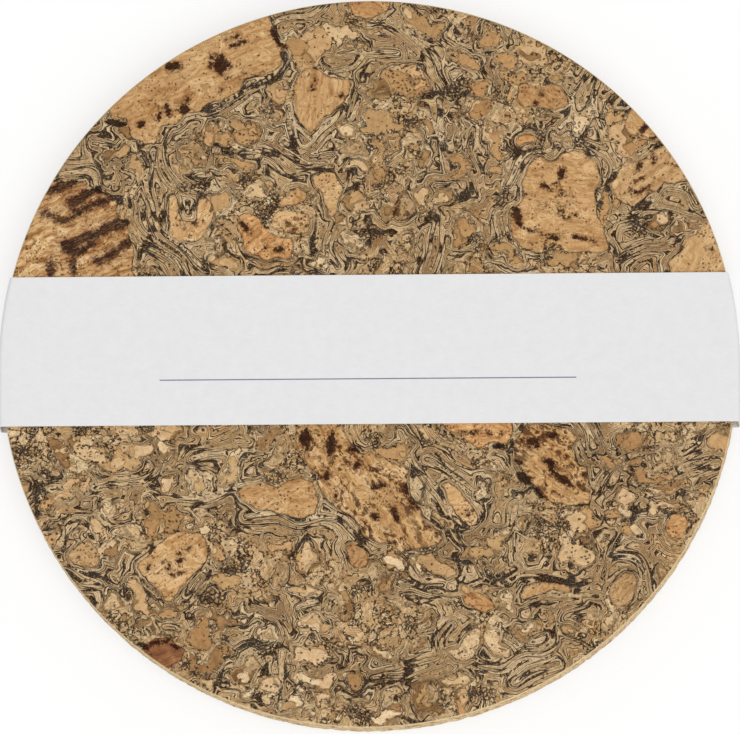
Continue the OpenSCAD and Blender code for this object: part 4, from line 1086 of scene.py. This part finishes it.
def regionPiece(name, number, node, material):      # one closed solid out of the cut face
    used, top = np.unique(faceTriangles[pieceOf == number], return_inverse=True)
    top = top.reshape(-1, 3)
    count = len(used)
    owners = dict.fromkeys(edge for a, b, c in top for edge in ((a, b), (b, c), (c, a)))
    border = [edge for edge in owners if (edge[1], edge[0]) not in owners]
    ring = sorted({i for edge in border for i in edge})
    order = {i: k for k, i in enumerate(ring)}
    below = {i: count + k for i, k in order.items()}
    spots = faceSpots[used]
    corners = [(x, y, z) for (x, y), z in zip(spots, heights[used])]
    corners += [(*spots[i], faceBottom) for i in ring]
    faces = [tuple(int(i) for i in face) for face in top]
    faces += [(int(b), int(a), below[a], below[b]) for a, b in border]
    flat = delaunay_2d_cdt([Vector(spots[i]) for i in ring], [(order[a], order[b]) for a, b in border],
                           [], 1, 1e-6, True)
    lower = np.array([tuple(spot) for spot in flat[0]])
    middlesBelow = np.array([lower[list(face)].mean(axis=0) for face in flat[2]])
    if number >= 0:
        keep = insideOutline(middlesBelow, fullOutlines[node])
    else:
        keep = np.ones(len(middlesBelow), bool)
        for outline in fullOutlines.values():
            keep &= ~insideOutline(middlesBelow, outline)
    lowerId = [below[ring[ids[0]]] if ids else None for ids in flat[3]]
    for face, wanted in zip(flat[2], keep):
        if wanted:
            faces.append(tuple(lowerId[i] for i in reversed(face)))
    piece = makePiece(name, corners, faces, material, "trivet", [node], sharpTurn=50)
    mine = {key: values[used] for key, values in painted.items()}
    if number >= 0:
        turn = math.radians(grainTurn.get(node, 0))
        light, spotted = sliceTones.get(node, (1.0, 1.0))
        mine["along"] = spots @ (math.cos(turn), math.sin(turn))
        mine["across"] = spots @ (-math.sin(turn), math.cos(turn))
        mine["sliceNumber"] = np.full(count, float(number))
        mine["toned"] = np.full(count, light)
        mine["spotted"] = np.full(count, spotted)
    for key, values in mine.items():
        paintValues(piece, key, np.concatenate([values, values[ring]]))
    return piece


regionPiece("marbled_sheet", -1, "face_sheet", marbledCork)
for number, node in enumerate(sliceNodes):
    regionPiece(node + "_cork", number, node, sliceCorks[ownLooks.get(node, slotOf[node])])
print("face pieces made")


# The cork board under the face, its rim pressed from small grains

board = {
    "columns": 900,
    "rowHeight": 0.62,
    "underRings": (0.35, 0.7),      # rings of points under the board, in shares of its radius
    "topRing": 0.6,
    "outerRing": 3,                 # the last of them lies this far in from the rim
    "edgeTurns": (25, 50, 72),      # steps round the lower edge, in degrees
    "grainyRim": 0.7,               # the grains show this near the rim
    "plainTop": 0.1,                # and end this far under the glue
    "grain": 1.5,                   # size of a grain
    "grainDepth": 0.14,             # how far the rim dips between grains
    "grainWall": 3.2,
    "pitDepth": 0.30,
    "pitShare": 0.13,
    "pitWall": 1.6,
    "fine": (0.9, 0.03),            # size and depth of the fine unevenness
    "filmInset": 0.02,
    "filmPoints": 480,
}


def makeBoardCork():
    material = newMaterial("boardCork")
    tree = material.node_tree
    place = facePlace(tree)
    place = vectorCalc(tree, "ADD", place, noisePush(tree, place, 1.1, 1.7, 4.0, 0.7))
    tone = parts(tree, cellsAt(tree, place, 0.80)["Color"])
    fray = noiseAt(tree, place, 2.2, 3.0, 0.65)
    gap = times(tree, band(tree, gapsAt(tree, place, 0.80), 0.07, 0.015), band(tree, fray, 0.42, 0.58))
    dark = times(tree, calc(tree, "LESS_THAN", tone[1], 0.07), band(tree, fray, 0.35, 0.55, 0.3, 0.75))
    # the board's own pale cork, set paler still as painted light so that its rim looks brightly lit
    colour = ramp(tree, pushed(tree, band(tree, tone[0], 0.0, 1.0, 0.10, 0.75), fray, 0.9),
                  [(0.0, shade(204, 170, 124)), (0.35, shade(226, 197, 151)),
                   (0.7, shade(236, 211, 167)), (1.0, shade(242, 222, 184))])
    colour = mixed(tree, dark, colour, shade(132, 92, 60))
    colour = stained(tree, colour, gap, 0.4, shade(126, 92, 62))
    finishSurface(tree, colour, 0.75, minus(tree, times(tree, fray, 0.5), gap), 0.10)
    return material


def rimDip(spot):      # how deep the rim lies between its grains and in its pits
    near, cells = noise.voronoi(spot / board["grain"])
    dip = board["grainDepth"] * max(0, 1 - (near[1] - near[0]) * board["grainWall"])
    if noise.cell(cells[0] * 7.3) < board["pitShare"]:
        dip += board["pitDepth"] * max(0, 1 - near[0] * board["pitWall"])
    size, depth = board["fine"]
    return dip + depth * (1 + noise.noise(spot / size))


def makeBoard():
    low, high = (corner.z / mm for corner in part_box("core_board"))
    edge, columns = faceCut["edgeRadius"], board["columns"]
    profile = [(discRadius * share, low) for share in board["underRings"]]
    profile += [(discRadius - board["outerRing"], low), (discRadius - edge, low)]
    profile += [(discRadius - edge * (1 - math.sin(a)), low + edge * (1 - math.cos(a)))
                for a in map(math.radians, board["edgeTurns"])]
    rows = int((high - low - edge) / board["rowHeight"])
    profile += [(discRadius, low + edge + (high - low - edge) * k / rows) for k in range(rows + 1)]
    profile += [(discRadius * board["topRing"], high)]
    corners = []
    for level, (r, z) in enumerate(profile):
        grainy = r > discRadius - board["grainyRim"] and z < high - board["plainTop"]
        for k in range(columns):
            spot = Vector((*onCircle(r, math.tau * (k + 0.5 * (level % 2)) / columns), z))
            corners.append(spot * ((r - rimDip(spot)) / r) if grainy else spot)
            corners[-1].z = z
    centre = len(corners)
    corners += [(0, 0, low), (0, 0, high)]
    faces = []
    for level in range(len(profile) - 1):
        for k in range(columns):
            a, b = level * columns + k, level * columns + (k + 1) % columns
            c, d = a + columns, b + columns
            faces += [(a, b, d), (a, d, c)] if level % 2 else [(a, b, c), (b, d, c)]
    last = (len(profile) - 1) * columns
    for k in range(columns):
        faces.append((centre, (k + 1) % columns, k))
        faces.append((centre + 1, last + k, last + (k + 1) % columns))
    return makePiece("cork_board", corners, faces, makeBoardCork(), "trivet", ["core_board"], sharpTurn=60)


def makeGlue(name, tint):
    material = newMaterial(name)
    tree = material.node_tree
    place = facePlace(tree)
    cloud = noiseAt(tree, place, 0.6, 3.0)
    fine = noiseAt(tree, place, 3.0)
    colour = mixed(tree, band(tree, cloud, 0.3, 0.7), tint, shade(232, 218, 184))
    finishSurface(tree, colour, band(tree, fine, 0.3, 0.7, 0.3, 0.5), fine, 0.03, specular=0.5)
    return material


def makeGlueFilm():
    low, high = (corner.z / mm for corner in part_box("face_glue"))
    count = board["filmPoints"]
    outline = [onCircle(discRadius - board["filmInset"], math.tau * k / count) for k in range(count)]
    return makeFilm("glue_film", outline, (0, 0), low, high, makeGlue("filmGlue", shade(206, 184, 140)),
                    "trivet", "face_glue")


makeBoard()
makeGlueFilm()
print("board and glue film made")


# The card sleeve: one strip, wound round the disc, its ends glued under it

sleeve = {
    "stepLength": 4,       # the slope down to the overlap
    "endRoom": 1,          # between the slope and the end of the inner layer
    "bendRoom": 0.4,       # a short flat row past each end of the slope
    "corkGap": 0.2,        # between the card and the disc
    "boxInset": 0.002,     # keeps the sleeve inside its CAD box
    "rowStep": 1.6,
    "columnStep": 2.2,
    "foldSteps": 9,
    "plainReach": 12,      # past the overlap the card stays straight this far, then bends to the rim
    "foldWidth": 1.2,      # this near its ends it follows the rim in full
    "wave": 0.04,          # how far the flat parts sag here and there
    "waveSize": (30, 14),
    "stiffEdge": 12,       # they sag less this near the folds
    "rule": {"from": -55.4, "to": 54.9, "y": -4.4, "width": 0.30, "thick": 0.07, "steps": 60},
    "lapPoints": 96,
    "lapRounding": 0.35,   # low for an oblong with round corners
    "lapWobble": 0.015,
}


def makeCard():
    material = newMaterial("card")
    tree = material.node_tree
    place = facePlace(tree)
    cloud = noiseAt(tree, place, 0.35, 3.0, 0.6)
    fibre = noiseAt(tree, vectorCalc(tree, "MULTIPLY", place, (0.8, 1.6, 1.0)), 0.9, 3.0, 0.7)
    tooth = noiseAt(tree, place, 6.0, 2.0, 0.6)
    tone = plus(tree, times(tree, cloud, 0.5), times(tree, fibre, 0.5))
    colour = ramp(tree, tone, [(0.3, shade(225, 225, 226)), (0.7, shade(232, 232, 232))])
    height = plus(tree, times(tree, tooth, 0.5), times(tree, fibre, 0.5))
    finishSurface(tree, colour, 0.55, height, 0.03, specular=0.3)
    return material


def sleevePath():      # the middle line of the card in the xz plane, with the way its outside faces
    lapLow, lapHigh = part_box("lap_glue")
    cardLow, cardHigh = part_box("card_sleeve")
    halfLap, thick, innerLayer = lapHigh.x / mm, lapLow.z / mm, lapHigh.z / mm
    halfWide, top = cardHigh.x / mm - sleeve["boxInset"], cardHigh.z / mm - sleeve["boxInset"]
    tabEnd = halfLap + sleeve["endRoom"]
    slopeEnd = tabEnd + sleeve["stepLength"]
    bottom = innerLayer + thick / 2
    upper = top - thick / 2
    fold = faceCut["edgeRadius"] + sleeve["corkGap"] + thick / 2      # radius of the middle line in a fold
    side = halfWide - thick / 2
    foldX, foldLow, foldHigh = side - fold, bottom + fold, upper - fold      # the middles of the folds

    def straight(start, end, facing):
        count = max(2, int((Vector(end) - Vector(start)).length / sleeve["columnStep"]))
        return [(Vector(start).lerp(Vector(end), k / count), Vector(facing)) for k in range(count)]

    def turned(cx, cz, fromAngle, toAngle):
        steps = sleeve["foldSteps"]
        rows = []
        for k in range(steps):
            out = Vector(onCircle(1, math.radians(fromAngle + (toAngle - fromAngle) * k / steps)))
            rows.append((Vector((cx, cz)) + out * fold, out))
        return rows

    down, room = Vector((0, -1)), sleeve["bendRoom"]
    slopeFoot, slopeHead = Vector((tabEnd, thick / 2)), Vector((slopeEnd, bottom))
    slope = Vector((slopeEnd - tabEnd, bottom - thick / 2)).normalized()
    slopeOut = Vector((slope.y, -slope.x))
    bendOut = (slopeOut + down).normalized()
    path = straight((-halfLap, thick / 2), (tabEnd - room, thick / 2), down)
    path += [(Vector((tabEnd - room, thick / 2)), down), (slopeFoot, bendOut)]
    path += straight(slopeFoot.lerp(slopeHead, 0.1), slopeFoot.lerp(slopeHead, 0.9), slopeOut)
    path += [(slopeHead, bendOut)]
    path += straight((slopeEnd + room, bottom), (foldX, bottom), down)
    path += turned(foldX, foldLow, -90, 0)
    path += straight((side, foldLow), (side, foldHigh), (1, 0))
    path += turned(foldX, foldHigh, 0, 90)
    path += straight((foldX, upper), (-foldX, upper), (0, 1))
    path += turned(-foldX, foldHigh, 90, 180)
    path += straight((-side, foldHigh), (-side, foldLow), (-1, 0))
    path += turned(-foldX, foldLow, 180, 270)
    path += straight((-foldX, bottom), (halfLap, bottom), down)
    path += [(Vector((halfLap, bottom)), down)]
    return path, thick, halfLap + sleeve["plainReach"], side


def makeSleeve():
    path, thick, plainReach, side = sleevePath()
    low, high = (corner.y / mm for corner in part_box("card_sleeve"))
    rows = int((high - low) / sleeve["rowStep"])
    waveX, waveY = sleeve["waveSize"]
    corners, faces = [], []
    for outer in (-1, 1):
        for row in range(rows + 1):
            y = low + (high - low) * row / rows
            # past the widest line the ends follow the rim
            pull = side - math.sqrt(side ** 2 - max(y, 0) ** 2)
            for spot, out in path:
                x, z = spot + out * (thick / 2 * outer)
                share = (abs(x) - plainReach) / (side - sleeve["foldWidth"] - plainReach)
                x -= math.copysign(pull * min(1, max(0, share)), x)
                if out.y > 0.99:
                    sag = sleeve["wave"] * 0.5 * (1 + noise.noise(Vector((x / waveX, y / waveY, 3))))
                    z -= sag * min(1, (side - abs(x)) / sleeve["stiffEdge"])
                corners.append((x, y, z))
    width = len(path)
    half = width * (rows + 1)
    for row in range(rows):
        for k in range(width - 1):
            a = row * width + k
            faces.append((a, a + 1, a + 1 + width, a + width))
            faces.append((half + a, half + a + width, half + a + 1 + width, half + a + 1))
    for k in range(width - 1):
        last = rows * width + k
        faces.append((k + 1, k, half + k, half + k + 1))
        faces.append((last, last + 1, half + last + 1, half + last))
    for row in range(rows):
        a = row * width
        b = a + width - 1
        faces.append((a, a + width, half + a + width, half + a))
        faces.append((b + width, b, half + b, half + b + width))
    return makePiece("card_sleeve_wrap", corners, faces, cardPaper, "sleeve", ["card_sleeve"], sharpTurn=35)


def makeRule():      # the thin printed line
    look = sleeve["rule"]
    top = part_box("card_sleeve")[1].z / mm - 0.001
    count = look["steps"]
    corners, faces = [], []
    for k in range(count + 1):
        x = look["from"] + (look["to"] - look["from"]) * k / count
        for y, z in ((-0.5, -1), (0.5, -1), (0.5, 0), (-0.5, 0)):
            corners.append((x, look["y"] + look["width"] * y, top + look["thick"] * z))
    for k in range(count):
        for side in range(4):
            a, b = 4 * k + side, 4 * k + (side + 1) % 4
            faces.append((a, b, b + 4, a + 4))
    faces.append((0, 3, 2, 1))
    faces.append((4 * count, 4 * count + 1, 4 * count + 2, 4 * count + 3))
    material = newMaterial("ruleInk")
    tree = material.node_tree
    spread = noiseAt(tree, facePlace(tree), 5.0)
    colour = mixed(tree, band(tree, spread, 0.3, 0.7), shade(118, 108, 130), shade(148, 140, 158))
    finishSurface(tree, colour, 0.6, spread, 0.01)
    return makePiece("printed_rule", corners, faces, material, "sleeve", ["card_sleeve"], smooth=False)


def makeLapGlue():
    low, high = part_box("lap_glue")
    halfX, halfY = (high.x - low.x) / 2 / mm, (high.y - low.y) / 2 / mm
    midY = (high.y + low.y) / 2 / mm
    outline = []
    for k in range(sleeve["lapPoints"]):
        c, s = onCircle(1, math.tau * k / sleeve["lapPoints"])
        edge = 1 - sleeve["lapWobble"] * (1 + noise.noise(Vector((c * 2, s * 2, 7))))
        outline.append((halfX * edge * math.copysign(abs(c) ** sleeve["lapRounding"], c),
                        midY + halfY * edge * math.copysign(abs(s) ** sleeve["lapRounding"], s)))
    return makeFilm("lap_glue_film", outline, (0, midY), low.z / mm, high.z / mm,
                    makeGlue("lapGlue", shade(240, 232, 205)), "sleeve", "lap_glue")


cardPaper = makeCard()
makeSleeve()
makeRule()
makeLapGlue()
print("sleeve made")


# Floor, light and camera

camera = {
    "lens": 900,
    "tilt": 10.0,          # degrees off straight down
    "azimuth": 12.7,       # towards the lower right
    "roll": 0.05,
    "pixels": 740,         # across the photo
    "discPixels": 368.6,   # the disc's radius in it
    "shift": (0.0015, -0.0059),
}

studio = {
    "floor": 3.0,
    "sun": 1.25, "sunAngle": 60, "sunFrom": (0.30, -0.55, 1.0),
    "sky": 0.67,
    "paler": 0.65,         # how far the floor is paled for the camera, which keeps the shadow faint
}

white = (1, 1, 1, 1)


def seenDirectly(tree):      # true for what the camera sees, also in a gloss
    rays = addNode(tree, "LightPath").outputs
    return largest(tree, rays["Is Camera Ray"], rays["Is Glossy Ray"], rays["Is Transmission Ray"])


def makeStage():
    size = studio["floor"]
    mesh = bpy.data.meshes.new("floor")
    corners = [(-size, -size, 0), (size, -size, 0), (size, size, 0), (-size, size, 0)]
    mesh.from_pydata(corners, [], [(0, 1, 2, 3)])
    floor = bpy.data.objects.new("floor", mesh)
    bpy.context.scene.collection.objects.link(floor)
    material = newMaterial("paleFloor")
    tree = material.node_tree
    seen = seenDirectly(tree)
    surface = addNode(tree, "BsdfDiffuse", {"Color": mixed(tree, seen, shade(225, 225, 225), white)})
    bright = addNode(tree, "Emission", {"Color": white, "Strength": 1.0})
    paled = addNode(tree, "MixShader", {0: times(tree, seen, studio["paler"]),
                                        1: surface.outputs[0], 2: bright.outputs[0]})
    tree.links.new(paled.outputs[0], addNode(tree, "OutputMaterial").inputs[0])
    mesh.materials.append(material)

    world = bpy.data.worlds.new("studio")
    bpy.context.scene.world = world
    world.use_nodes = True
    tree = world.node_tree
    tree.nodes.clear()
    lit = addNode(tree, "Background", {"Color": white, "Strength": studio["sky"]})
    shown = addNode(tree, "Background", {"Color": white, "Strength": 1.0})
    both = addNode(tree, "MixShader", {0: seenDirectly(tree), 1: lit.outputs[0], 2: shown.outputs[0]})
    tree.links.new(both.outputs[0], addNode(tree, "OutputWorld").inputs[0])

    sun = bpy.data.lights.new("softSun", "SUN")
    sun.energy = studio["sun"]
    sun.angle = math.radians(studio["sunAngle"])
    lamp = bpy.data.objects.new("softSun", sun)
    lamp.rotation_euler = Vector(studio["sunFrom"]).to_track_quat("Z", "Y").to_euler()
    bpy.context.scene.collection.objects.link(lamp)


def makeCamera():
    data = bpy.data.cameras.new("camera")
    data.lens = camera["lens"]
    data.shift_x, data.shift_y = camera["shift"]
    tilt, azimuth = math.radians(camera["tilt"]), math.radians(camera["azimuth"])
    back = Vector((math.sin(azimuth) * math.sin(tilt), -math.cos(azimuth) * math.sin(tilt), math.cos(tilt)))
    across = camera["pixels"] / camera["discPixels"] * discRadius * mm      # what the view spans at the face
    distance = across * data.lens / data.sensor_width
    target = Vector((0, 0, faceTop * mm))
    eye = bpy.data.objects.new("camera", data)
    up = Vector((0, 1, 0)) - back * back.y
    up.normalize()
    right = up.cross(back)
    roll = math.radians(camera["roll"])
    rightTurned = right * math.cos(roll) - up * math.sin(roll)
    upTurned = up * math.cos(roll) + right * math.sin(roll)
    turned = Matrix((rightTurned, upTurned, back)).transposed().to_4x4()
    eye.matrix_world = Matrix.Translation(target + back * distance) @ turned
    bpy.context.scene.collection.objects.link(eye)
    bpy.context.scene.camera = eye


makeStage()
makeCamera()
bpy.context.scene.view_settings.view_transform = "Standard"
print("stage and camera ready")
